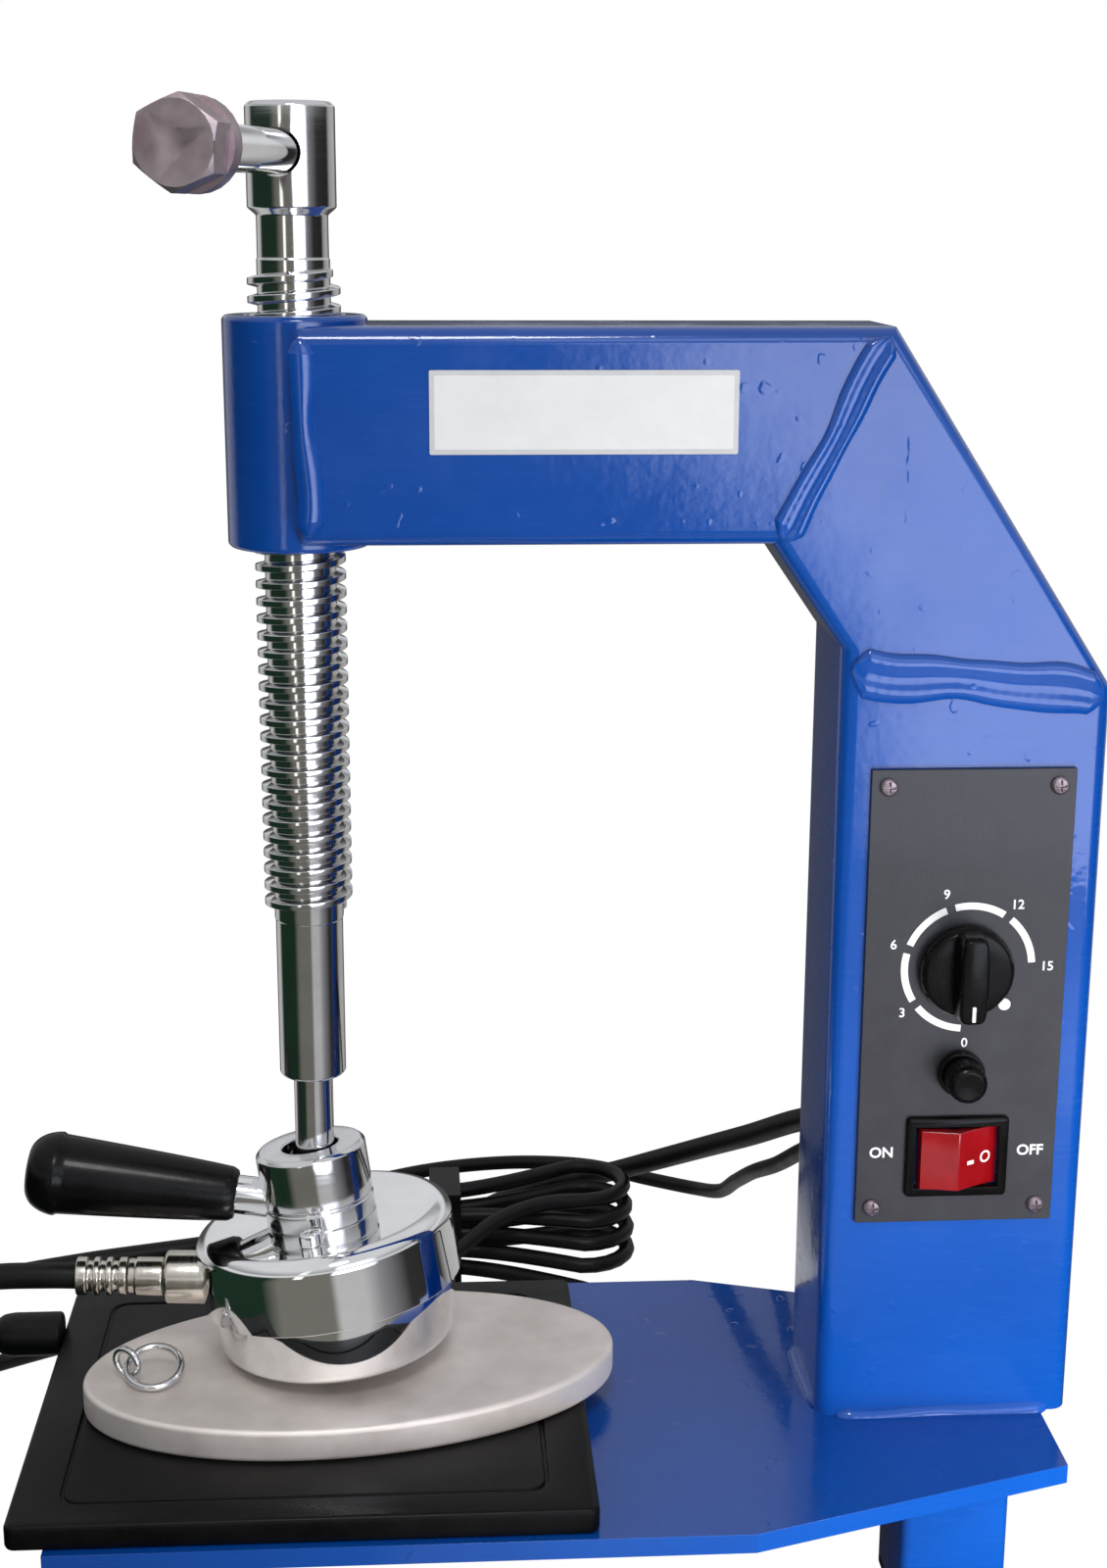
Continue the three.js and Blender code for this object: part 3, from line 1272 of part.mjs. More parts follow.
function powerCord(group) {
  const hank = hankCentres();
  const into = hank[1].clone().sub(hank[0]).normalize();
  const lead = smooth([
    new THREE.Vector3(reliefX, halfDepth + reliefLength + seatGap, reliefZ),
    ...vectors(powerCordRoute),
    hank[0].clone().addScaledVector(into, -3 * powerCordRadius),
    hank[0].clone().addScaledVector(into, -seatGap),
  ], 24);
  place("power_cord", tube(lead, powerCordRadius, 8), rubber, group);
  const plugZ = benchZ + benchClearance + plugFaceRadius;
  const tail = smooth([
    hank[hank.length - 1],
    ...vectors(plugTailRoute),
    new THREE.Vector3(plugX, plugY, plugZ),
  ], 12);
  const wound = [...hank, ...tail.slice(1)];
  place("power_cord_hank", tube(wound, powerCordRadius, 6), rubber, group);

  // Least gap between stretches of the hank that aren't neighbours along it
  const samples = [];
  wound.slice(1).forEach((p, i) => {
    for (let k = 0; k < 8; k++) samples.push(wound[i].clone().lerp(p, k / 8));
  });
  const along = [0];
  samples.slice(1).forEach((p, i) => along.push(along[i] + p.distanceTo(samples[i])));
  let least = Infinity;
  samples.forEach((p, i) => {
    for (let j = i + 1; j < samples.length; j++) {
      const chord = p.distanceTo(samples[j]);
      if (along[j] - along[i] > 2 * chord + 4 * powerCordRadius) least = Math.min(least, chord);
    }
  });
  const length = (points) => points.slice(1).reduce((sum, p, i) => sum + p.distanceTo(points[i]), 0);
  console.log("power cord: length " + (length(lead) + length(wound)).toFixed(0)
    + " mm, least gap of the hank to itself " + (least - 2 * powerCordRadius).toFixed(2) + " mm");

  const body = turned([
    [0, seatGap],
    [plugBodyRadius * 0.8, seatGap],
    [plugBodyRadius, plugBodyLength * 0.7],
    [plugFaceRadius, plugBodyLength],
    [plugFaceRadius, plugBodyLength + plugFaceLength],
    [0, plugBodyLength + plugFaceLength],
  ], 20);
  const pins = [-1, 1].map((side) =>
    rod(plugPinRadius, plugBodyLength, plugBodyLength + plugFaceLength + plugPinLength, plugPinRadius / 3, 10)
      .translate(0, (side * plugPinSpacing) / 2, 0),
  );
  const plug = pointing(join(body, ...pins), new THREE.Vector3(-1, 0, 0)).translate(plugX, plugY, plugZ);
  place("power_plug", plug, rubber, group);

  const tieInnerWidth = 2 * (hankHalfWidth * (1 - hankWaistShare) + powerCordRadius + tieSpare);
  const tieInnerHeight = hankRise * hankTurns + 2 * powerCordRadius + tieSpare;
  const tie = cut(
    block(tieWidth, tieInnerWidth + 2 * tieThickness, tieInnerHeight + 2 * tieThickness),
    block(tieWidth + 2 * overrun, tieInnerWidth, tieInnerHeight).translate(0, 0, tieThickness),
  );
  tie.rotateZ((hankStartAngle + hankEndAngle) / 2).translate(hankMiddleX, hankMiddleY, benchZ + benchClearance);
  place("cord_tie", tie, rubber, group);
}

const root = new THREE.Group();
frameTubes(root);
screwBoss(root);
spindle(root);
slidingBar(root);
baseAndLegs(root);
panel(root);
timer(root);
fuse(root);
rockerSwitch(root);
lowerHeater(root);
ovalPlate(root);
swivelSeat(root);
upperHeater(root);
columnOutlets(root);

// The part's origin is the middle of its footprint on the bench, without the cords.
root.updateMatrixWorld(true);
const bounds = new THREE.Box3().setFromObject(root, true);
heaterCables(root);
powerCord(root);
root.position.set(
  -(bounds.min.x + bounds.max.x) / 2,
  -(bounds.min.y + bounds.max.y) / 2,
  -bounds.min.z,
);

export default root;
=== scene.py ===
# Looks of the bench tire vulcanizer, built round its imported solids. Metres, +Z up.
# Sizes are written in millimetres from the screw's axis and the top of the base plate, as in the part.
import json

import bmesh
import bpy
import numpy as np
from mathutils import Matrix, Vector

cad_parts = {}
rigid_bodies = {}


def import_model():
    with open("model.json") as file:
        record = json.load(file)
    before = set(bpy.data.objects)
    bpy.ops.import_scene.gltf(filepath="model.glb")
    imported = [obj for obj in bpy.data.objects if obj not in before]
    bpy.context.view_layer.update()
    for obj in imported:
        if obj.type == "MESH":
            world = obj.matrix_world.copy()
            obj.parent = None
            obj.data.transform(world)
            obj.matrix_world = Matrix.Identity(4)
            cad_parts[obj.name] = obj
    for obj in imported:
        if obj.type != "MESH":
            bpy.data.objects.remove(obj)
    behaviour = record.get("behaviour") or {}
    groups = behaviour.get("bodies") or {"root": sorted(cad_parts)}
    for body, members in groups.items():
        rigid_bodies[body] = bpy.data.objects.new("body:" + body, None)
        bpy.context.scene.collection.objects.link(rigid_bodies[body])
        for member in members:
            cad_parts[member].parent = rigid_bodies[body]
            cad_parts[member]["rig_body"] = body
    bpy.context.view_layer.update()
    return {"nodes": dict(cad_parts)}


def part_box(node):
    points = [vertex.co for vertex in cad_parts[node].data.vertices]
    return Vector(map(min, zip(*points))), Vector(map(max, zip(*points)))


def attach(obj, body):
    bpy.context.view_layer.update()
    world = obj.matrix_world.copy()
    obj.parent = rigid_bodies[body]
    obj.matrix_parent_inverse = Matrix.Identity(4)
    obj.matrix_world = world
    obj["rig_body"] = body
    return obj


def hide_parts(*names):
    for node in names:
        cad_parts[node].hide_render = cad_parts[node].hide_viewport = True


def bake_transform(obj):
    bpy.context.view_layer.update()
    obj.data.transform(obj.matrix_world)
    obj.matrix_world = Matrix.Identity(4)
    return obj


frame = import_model()
mm = 0.001
seat_box = np.array([list(corner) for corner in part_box("ball_seat")])
screw = np.array([*seat_box.mean(0)[:2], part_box("base_plate")[1][2]])


def from_screw(points):
    """Millimetres from the screw's axis and the base plate's top become metres in the frame."""
    return screw + np.asarray(points, float) * mm


# Camera: a hand-held photograph from a little above the arm, looking down on the heaters and turned
# slightly to the right. Its focal length is a share of the picture's long side.
camera_place = from_screw([35.0, -639.5, 359.0])
camera_yaw = np.radians(3.41)
camera_pitch = np.radians(14.19)
camera_roll = np.radians(0.19)
focal_share = 1.41955
camera_data = bpy.data.cameras.new("camera")
camera_data.sensor_width = 36
camera_data.lens = focal_share * camera_data.sensor_width


def shown(name, data):
    """A new object in the scene."""
    made = bpy.data.objects.new(name, data)
    bpy.context.scene.collection.objects.link(made)
    return made


camera = shown("camera", camera_data)
camera.matrix_world = (
    Matrix.Translation(camera_place) @ Matrix.Rotation(-camera_yaw, 4, "Z")
    @ Matrix.Rotation(np.pi / 2 - camera_pitch, 4, "X") @ Matrix.Rotation(camera_roll, 4, "Z")
)
bpy.context.scene.camera = camera


# Rubber of the cables, boots and feet: moulded, nearly black, with a trace of dust and a fine skin.
# Every other material below is put together from the same few steps as this one.
def new_material(name):
    """A material with its node tree and its main shader."""
    material = bpy.data.materials.new(name)
    material.use_nodes = True
    tree = material.node_tree
    return material, tree, tree.nodes["Principled BSDF"]


def fill(entry, value):
    """Links a node's input to a socket, or sets it to a number or a colour."""
    if isinstance(value, bpy.types.NodeSocket):
        entry.id_data.links.new(value, entry)
    else:
        entry.default_value = value


def feed(node, **inputs):
    """Fills several inputs of a node. In their names an underscore stands for a space."""
    for name, value in inputs.items():
        fill(node.inputs[name.replace("_", " ")], value)


def coordinates(tree, stretch=(1, 1, 1), turn=(0, 0, 0), centre=(0, 0, 0)):
    """The piece's own coordinates, moved, turned and stretched."""
    place = tree.nodes.new("ShaderNodeTexCoord")
    mapping = tree.nodes.new("ShaderNodeMapping")
    feed(mapping, Vector=place.outputs["Object"], Location=centre, Rotation=turn, Scale=stretch)
    return mapping.outputs["Vector"]


def noise(tree, vector, scale, detail=3, roughness=0.5):
    """Layers of smooth noise, each twice as fine as the last and weaker by the roughness."""
    texture = tree.nodes.new("ShaderNodeTexNoise")
    feed(texture, Vector=vector, Scale=scale, Detail=detail, Roughness=roughness)
    return texture.outputs["Fac"]


def ramp(tree, value, *stops):
    """Colours or greys at places between 0 and 1, blended in between."""
    node = tree.nodes.new("ShaderNodeValToRGB")
    elements = node.color_ramp.elements
    elements[0].position = stops[0][0]
    elements[1].position = stops[-1][0]
    for position, _ in stops[1:-1]:
        elements.new(position)
    for element, (_, tone) in zip(elements, stops):
        element.color = (*tone, 1) if isinstance(tone, tuple) else (tone, tone, tone, 1)
    feed(node, Fac=value)
    return node.outputs["Color"]


def bump(tree, height, strength, depth, shader, below=None):
    """Relief on a shader, on top of the relief below it."""
    node = tree.nodes.new("ShaderNodeBump")
    feed(node, Height=height, Strength=strength, Distance=depth * mm)
    if below is not None:
        feed(node, Normal=below)
    feed(shader, Normal=node.outputs["Normal"])
    return node.outputs["Normal"]


def moulded_material(name, dark, light, smooth, rough, grain, relief, coat=0.0, sheen=0.5):
    """Moulded stuff: dust in the tone and the gloss, and a fine grain."""
    material, tree, shader = new_material(name)
    vector = coordinates(tree)
    dust = noise(tree, vector, 70, 5, 0.7)
    feed(
        shader,
        Base_Color=ramp(tree, dust, (0.35, dark), (0.75, light)),
        Roughness=ramp(tree, dust, (0.3, smooth), (0.7, rough)),
        Specular_IOR_Level=sheen,
        Coat_Weight=coat,
        Coat_Roughness=0.1,
    )
    bump(tree, noise(tree, vector, grain, 3, 0.6), relief, 0.3, shader)
    return material


rubber = moulded_material(
    "black rubber", dark=0.003, light=0.008, smooth=0.36, rough=0.5, grain=600, relief=0.15,
    sheen=0.22,
)


# The heater hangs on a round-bottomed seat and leans on it. These sizes place everything that leans:
# the cover turns about the seat's centre, and the block below turns less, about the seam's centre.
seat_height = 14
pivot = screw * [1, 1, 0] + [0, 0, seat_box[0][2] + seat_height * mm]
lean_axis = Vector((-0.477, -0.879, 0)).normalized()
cover_tilt = np.radians(9.4)
block_tilt = np.radians(4.5)
cover_top = -11.3
cover_height = 22.5
cover_radius = 40
cover_place = Matrix.Translation(pivot) @ Matrix.Rotation(cover_tilt, 4, lean_axis)
seam = cover_top - cover_height
block_place = (
    Matrix.Translation(cover_place @ Vector((0, 0, seam * mm))) @ Matrix.Rotation(block_tilt, 4, lean_axis)
)


def standing(direction, place):
    """A matrix that stands a turned form on place, in millimetres, with its axis along direction."""
    turned = Vector((0, 0, 1)).rotation_difference(Vector(direction)).to_matrix().to_4x4()
    return Matrix.Translation(Vector(place) * mm) @ turned


plug_rise = np.radians(10)
plug_above_seam = 8.5
plug_place = cover_place @ standing(
    (-np.cos(plug_rise), 0, np.sin(plug_rise)), (-cover_radius, 0, seam + plug_above_seam),
)
fit_gap = 0.3
nut_length = 11
shell_length = 11
boot_length = 15.5
boot_end = nut_length + shell_length + boot_length + 3 * fit_gap
straight_length = 8


# Cables of the two heaters: round black rubber, lying loosely on the bench behind the machine and
# coming back to an oval grommet in the back of the column. Routes in millimetres from the screw.
def smooth_route(points, steps):
    """Centripetal Catmull-Rom curve through the points: each span blends its four nearest points in
    three rounds, by knots spaced by the square root of their distance, and is then spaced evenly."""
    p = np.array(points, float)
    p = np.vstack([2 * p[0] - p[1], p, 2 * p[-1] - p[-2]])
    knots = np.concatenate([[0], np.cumsum(np.linalg.norm(np.diff(p, axis=0), axis=1) ** 0.5)])
    share = np.linspace(0, 1, 24, endpoint=False)[None, :, None]
    at = [knots[k : len(p) - 3 + k, None, None] for k in range(4)]
    mixed = [p[k : len(p) - 3 + k, None, :] for k in range(4)]
    t = at[1] + (at[2] - at[1]) * share
    for spans in (((0, 1), (1, 2), (2, 3)), ((0, 2), (1, 3)), ((1, 2),)):
        mixed = [
            ((at[end] - t) * before + (t - at[start]) * after) / (at[end] - at[start])
            for (start, end), before, after in zip(spans, mixed, mixed[1:])
        ]
    line = np.vstack([mixed[0].reshape(-1, 3), p[-2:-1]])
    run = np.concatenate([[0], np.cumsum(np.linalg.norm(np.diff(line, axis=0), axis=1))])
    even = np.linspace(0, run[-1], steps + 1)
    return np.stack([np.interp(even, run, line[:, k]) for k in range(3)], 1)


def finished_mesh(made):
    """The object's form as a mesh, with its modifiers applied."""
    return bpy.data.meshes.new_from_object(made.evaluated_get(bpy.context.evaluated_depsgraph_get()))


def cable(name, route, radius, node, bend=None, lay="loose", far_end="object", **cord):
    """A round cable along the route in place of its solid. With bend, it is made a fixed mesh that
    moves with no body; without bend, it moves with the frame."""
    places = from_screw(route)
    data = bpy.data.curves.new(name, "CURVE")
    data.dimensions = "3D"
    data.bevel_depth = radius * mm
    data.bevel_resolution = 4
    data.use_fill_caps = True
    spline = data.splines.new("POLY")
    spline.points.add(len(places) - 1)
    spline.points.foreach_set("co", np.column_stack([places, np.ones(len(places))]).ravel())
    data.materials.append(rubber)
    made = shown(name, data)
    if bend:
        tube = finished_mesh(made)
        bpy.data.objects.remove(made)
        made = shown(name, tube)
        cord["path"] = [tuple(point) for point in places]
        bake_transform(made)
    else:
        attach(made, "frame")
    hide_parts(node)


grommet = np.array([168, 27.3, 66])
grommet_spacing = 8.2
heater_cable_radius = 4
plate_cable_radius = 3
plate_cable_start = (-106.75, 28, 7.2)
heater_route = [
    (-104, 0.5, 41), (-124, 4, 34), (-146, 18, 18), (-164, 52, -10), (-170, 96, -33), (-160, 138, -41),
    (-133, 166, -41.8), (-104, 178, -41.8), (-50, 193, -41.8), (-20, 204, -41.8), (8, 210, -41.8),
    (34, 211, -41.8), (52, 216, -41.8), (68, 231, -41.8), (84, 243, -41.4), (99, 236, -36),
    (111, 210, -21.4), (125, 172, 0.1), (139, 136, 20.8), (151, 102, 40), (163, 74, 57), (168, 46, 69.4),
]
plate_route = [
    (-116, 28, 6.8), (-128, 30, 0), (-142, 42, -16), (-146, 66, -34), (-132, 94, -42.4), (-100, 113, -42.5),
    (-64, 130, -42.5), (-56, 158, -42), (-47, 192, -34.2), (-28, 226, -41.4), (4, 248, -42.5),
    (34, 262, -42.5), (62, 268, -42.5), (84, 268, -42.5), (106, 263, -42.5), (130, 248, -42.5),
    (148, 238, -42.6), (156, 220, -36), (159, 190, -18), (160, 150, 4), (163, 116, 22), (166, 80, 43),
    (168, 46, 61),
]
leaving = np.array([
    (np.array(plug_place @ Vector((0, 0, reach * mm))) - screw) / mm
    for reach in (boot_end, boot_end + straight_length)
])
cable(
    "upper_cable",
    smooth_route([*leaving, *heater_route, grommet + [0, 0, grommet_spacing / 2]], 260),
    heater_cable_radius,
    "upper_heater_cable",
    bend=[(0, 110, -40), (-104, 0, 41)],
)
cable(
    "lower_cable",
    smooth_route([plate_cable_start, *plate_route, grommet - [0, 0, grommet_spacing / 2]], 280),
    plate_cable_radius,
    "lower_heater_cable",
)


# Power cord: it leaves the back of the column through a ribbed relief, is wound into a flat hank
# held by a tie, and ends in a two-pin plug. Every lap lies on the one before, turned a little.
cord_radius = 3
relief_end = (193.3, 50.3, 30)
power_route = [
    (193.3, 62, 28.4), (193.3, 78, 17), (192, 93, -5), (188, 108, -28), (178, 122, -41.5),
    (164, 133, -42.8), (146, 140, -42.8), (124, 143, -42.4),
]
tail_route = [
    (80, 160.5, -12.3), (62, 152, -14.5), (46, 138, -20), (31, 121, -25.5), (14, 103, -28.4),
    (-4, 93, -28.8),
]
plug_back = (-22, 91, -28.8)
hank_middle = (41, 172)
hank_run = 108
hank_half_width = 18
hank_turns = 4
hank_start = 0.5
hank_rise = 7
hank_angles = np.radians([-9, 10])
hank_waist_share = 0.6
hank_floor = -43.9


def hank_points(turns):
    """A long loop: a straight run out, a half circle, a straight run home and a half circle. The runs
    are drawn in by a share of half a cosine, and the loop turns and rises as the laps go on."""
    half_run = hank_run / 2
    half_laps = np.floor(2 * turns)
    side = np.where(half_laps % 2 == 0, 1, -1)
    along = (2 * turns - half_laps) * (hank_run + np.pi * hank_half_width)
    bend = np.maximum(along - hank_run, 0) / hank_half_width
    x = side * (np.minimum(along, hank_run) - half_run + hank_half_width * np.sin(bend))
    y = side * hank_half_width * np.cos(bend)
    waist = np.where(np.abs(x) < half_run, np.cos(np.pi * x / hank_run), 0)
    y *= 1 - hank_waist_share * waist
    done = (turns - hank_start) / hank_turns
    angle = hank_angles[0] + (hank_angles[1] - hank_angles[0]) * done
    return np.stack([
        hank_middle[0] + x * np.cos(angle) - y * np.sin(angle),
        hank_middle[1] + x * np.sin(angle) + y * np.cos(angle),
        hank_floor + cord_radius + hank_rise * (turns - hank_start),
    ], -1)


hank = hank_points(hank_start + np.arange(hank_turns * 60 + 1) / 60)
first_step = (hank[1] - hank[0]) / np.linalg.norm(hank[1] - hank[0])
tail = smooth_route([hank[-1], *tail_route, plug_back], 90)
cable(
    "power_lead",
    smooth_route([
        relief_end, *power_route, hank[0] - first_step * 3 * cord_radius, hank[0] - first_step * fit_gap,
    ], 120),
    cord_radius,
    "power_cord",
)


def smoothed(mesh, angle):
    """Smooth shading between faces that meet at less than the angle, in degrees."""
    mesh.polygons.foreach_set("use_smooth", np.ones(len(mesh.polygons), bool))
    mesh.set_sharp_from_angle(angle=np.radians(angle))


def piece(name, data, body, slot, *replaced):
    """An object that moves with a body, drawn in place of the named nodes. The slot is not used."""
    made = shown(name, data)
    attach(made, body)
    if replaced:
        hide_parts(*replaced)
    return made


def softened(node_name, material, width, slot, angle=30):
    """The node's own form with its triangles joined and its sharp edges rounded."""
    node = frame["nodes"][node_name]
    mesh = bpy.data.meshes.new(node_name + "_soft")
    form = bmesh.new()
    form.from_mesh(node.data)
    bmesh.ops.remove_doubles(form, verts=form.verts, dist=0.001 * mm)
    bmesh.ops.dissolve_limit(form, angle_limit=np.radians(0.5), verts=form.verts, edges=form.edges)
    form.to_mesh(mesh)
    form.free()
    mesh.materials.clear()
    mesh.materials.append(material)
    smoothed(mesh, angle)
    made = piece(mesh.name, mesh, node["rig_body"], slot, node_name)
    bevel = made.modifiers.new("round edges", "BEVEL")
    bevel.width = width * mm
    bevel.segments = 3
    bevel.limit_method = "ANGLE"
    bevel.angle_limit = np.radians(angle)
    bevel.use_clamp_overlap = True
    return made


black_plastic = moulded_material(
    "black plastic", dark=0.002, light=0.004, smooth=0.22, rough=0.34, grain=700, relief=0.1,
    coat=0.06, sheen=0.15,
)
plug = softened("power_plug", rubber, 0.6, "black_rubber")
tie = softened("cord_tie", black_plastic, 0.4, "black_plastic")
cable(
    "power_hank",
    np.vstack([hank, tail[1:]]),
    cord_radius,
    "power_cord_hank",
    far_end="plug",
    lay="coiled",
    with_pieces=[plug, tie],
)
softened("power_cord_relief", rubber, 0.4, "black_rubber")
softened("cable_grommet", rubber, 0.5, "black_rubber")


# Paint of the frame: one thick coat of glossy blue sprayed over the welded steel. It shows orange
# peel, slow waves, dust pits under the skin and fine scratches.
def paint_material(name, dark, light, waves):
    """Noises from coarse to fine: the tone, both glosses, then waves, peel and pits as relief."""
    material, tree, shader = new_material(name)
    vector = coordinates(tree)
    drift = noise(tree, vector, 8, 4, 0.6)
    scuffs = noise(tree, coordinates(tree, (1, 1, 7), (0, 0.5, 0)), 60, 6, 0.75)
    haze = noise(tree, vector, 22, 5, 0.7)
    feed(
        shader,
        Base_Color=ramp(tree, drift, (0.3, dark), (0.72, light)),
        Roughness=ramp(tree, scuffs, (0.4, 0.2), (0.7, 0.34)),
        Specular_IOR_Level=0.1,
        Coat_Weight=1,
        Coat_Roughness=ramp(tree, haze, (0.4, 0.06), (0.68, 0.2)),
    )
    slow = bump(tree, noise(tree, vector, 34, 2, 0.5), waves, 1.6, shader)
    peel = bump(tree, noise(tree, vector, 330, 2, 0.4), 0.1, 0.35, shader, slow)
    pits = ramp(tree, noise(tree, vector, 190, 1, 0.3), (0.7, 0.0), (0.76, 1.0))
    feed(shader, Coat_Normal=bump(tree, pits, 0.25, 0.25, shader, peel))
    return material


blue_paint = paint_material(
    "blue paint", dark=(0.001, 0.056, 0.31), light=(0.003, 0.078, 0.4), waves=0.12,
)
weld_paint = paint_material(
    "blue paint over welds", dark=(0.001, 0.056, 0.31), light=(0.004, 0.082, 0.42), waves=0.2,
)


# Frame of the press: three lengths of rectangular steel tube with rounded corners, mitred and welded
# into a C. All three are drawn as one tube whose rings lie in the cuts and in the two ends.
def surface(name, rows, material, body, slot, *replaced, sharp=35, place=None, lids=True):
    """A closed skin from a grid of points: each row is a loop, neighbouring rows are joined by
    four-sided faces, and lids close the first and last rows. Points in millimetres from the screw,
    or in the millimetres of a placing matrix."""
    rows = np.asarray(rows, float)
    count, loop = rows.shape[:2]
    points = rows.reshape(-1, 3)
    if place is None:
        points = from_screw(points)
    else:
        turned = np.array(place)
        points = points * mm @ turned[:3, :3].T + turned[:3, 3]
    index = np.arange(count * loop).reshape(count, loop)
    after = np.roll(index, -1, axis=1)
    faces = np.stack([index[:-1], after[:-1], after[1:], index[1:]], -1).reshape(-1, 4).tolist()
    if lids:
        faces += [index[0][::-1].tolist(), index[-1].tolist()]
    mesh = bpy.data.meshes.new(name)
    mesh.from_pydata(points, [], faces)
    form = bmesh.new()
    form.from_mesh(mesh)
    bmesh.ops.remove_doubles(form, verts=form.verts, dist=0.0005 * mm)
    bmesh.ops.recalc_face_normals(form, faces=form.faces)
    form.to_mesh(mesh)
    form.free()
    mesh.materials.append(material)
    smoothed(mesh, sharp)
    return piece(name, mesh, body, slot, *replaced)


half_depth = 24
tube_corner = 5
arm_bottom = 271.1
arm_top = 331.1
arm_end = 2
elbow_inside = (133.4, arm_bottom)
elbow_outside = (166.4, arm_top)
column_left = 153.8
column_right = 232.8
knee_inside = (column_left, 241.6)
knee_outside = (column_right, 229.5)


def rounded_loop(width_range, height_range, corner, steps):
    """A rounded rectangle between two limits each way: each corner is a quarter circle."""
    low_u, high_u = width_range[0] + corner, width_range[1] - corner
    low_v, high_v = height_range[0] + corner, height_range[1] - corner
    quarter = np.linspace(0, np.pi / 2, steps)
    angles = (np.arange(4)[:, None] * np.pi / 2 + quarter).ravel()
    u = np.repeat([high_u, low_u, low_u, high_u], steps) + corner * np.cos(angles)
    v = np.repeat([high_v, high_v, low_v, low_v], steps) + corner * np.sin(angles)
    return u, v


def tube_ring(inside, outside):
    """A rounded rectangle laid in a cut: across the cut it runs from the inner to the outer line of
    the tube, and in depth from front to back."""
    inside, outside = np.array(inside, float), np.array(outside, float)
    across = np.linalg.norm(outside - inside)
    side, depth = rounded_loop((0, across), (-half_depth, half_depth), tube_corner, 10)
    line = inside + (outside - inside) * (side / across)[:, None]
    return np.stack([line[:, 0], depth, line[:, 1]], -1)


surface(
    "c_frame",
    [
        tube_ring((arm_end, arm_bottom), (arm_end, arm_top)),
        tube_ring(elbow_inside, elbow_outside),
        tube_ring(knee_inside, knee_outside),
        tube_ring((column_left, 0), (column_right, 0)),
    ],
    blue_paint, "frame", "blue_paint", "column_tube", "corner_tube", "arm_tube",
    sharp=20,
)


# Boss at the end of the arm: a turned steel tube, chamfered at both ends, welded to the arm and
# painted with it. Its threaded bore is hidden by the screw and drawn plain.
def circle(sides):
    """Evenly spaced angles once round."""
    return np.linspace(0, 2 * np.pi, sides, endpoint=False)


def lathe(profile, sides):
    """A turned form: every (radius, height) of the profile goes round in a circle."""
    radius, height = np.array(profile, float).T
    angle = circle(sides)
    return np.stack([
        radius[:, None] * np.cos(angle),
        radius[:, None] * np.sin(angle),
        np.repeat(height[:, None], sides, axis=1),
    ], -1)


def eased(profile, radius, steps=4):
    """The profile with each corner replaced by a short curve that starts and ends on its two sides:
    squares of the shares weigh the side before, the corner and the side after."""
    points = np.array(profile, float)
    before, corner, after = points[:-2], points[1:-1], points[2:]
    back, ahead = before - corner, after - corner
    back_length = np.linalg.norm(back, axis=1, keepdims=True)
    ahead_length = np.linalg.norm(ahead, axis=1, keepdims=True)
    reach = np.minimum(radius, 0.45 * np.minimum(back_length, ahead_length))
    start = corner + back / back_length * reach
    end = corner + ahead / ahead_length * reach
    t = np.linspace(0, 1, steps + 1)[None, :, None]
    curves = (1 - t) ** 2 * start[:, None] + 2 * t * (1 - t) * corner[:, None] + t**2 * end[:, None]
    return np.vstack([points[:1], curves.reshape(-1, 2), points[-1:]])


screw_place = Matrix.Translation(screw)
boss_radius = 20.4
boss_proud = 2.4
boss_bore = 13.4
boss_chamfer = 1
boss_low = arm_bottom - boss_proud
boss_high = arm_top + boss_proud
boss_waist = (boss_low + boss_high) / 2
boss_outline = eased([
    (boss_bore, boss_waist), (boss_bore, boss_low + boss_chamfer), (boss_bore + boss_chamfer, boss_low),
    (boss_radius - boss_chamfer, boss_low), (boss_radius, boss_low + boss_chamfer),
    (boss_radius, boss_high - boss_chamfer), (boss_radius - boss_chamfer, boss_high),
    (boss_bore + boss_chamfer, boss_high), (boss_bore, boss_high - boss_chamfer), (boss_bore, boss_waist),
], 0.5)


def turned_ring(name, outline, sides, *look, sharp=35, place=None):
    """A turned form with a bore. Its outline comes back to where it starts and is the loop of every
    row. The rows go once round and end on the first, so there is nothing for lids to close."""
    rows = np.swapaxes(lathe(outline[:-1], sides), 0, 1)
    surface(name, np.concatenate([rows, rows[:1]]), *look, sharp=sharp, place=place, lids=False)


turned_ring(
    "boss", boss_outline, 128, blue_paint, "frame", "blue_paint", "screw_boss", place=screw_place,
)


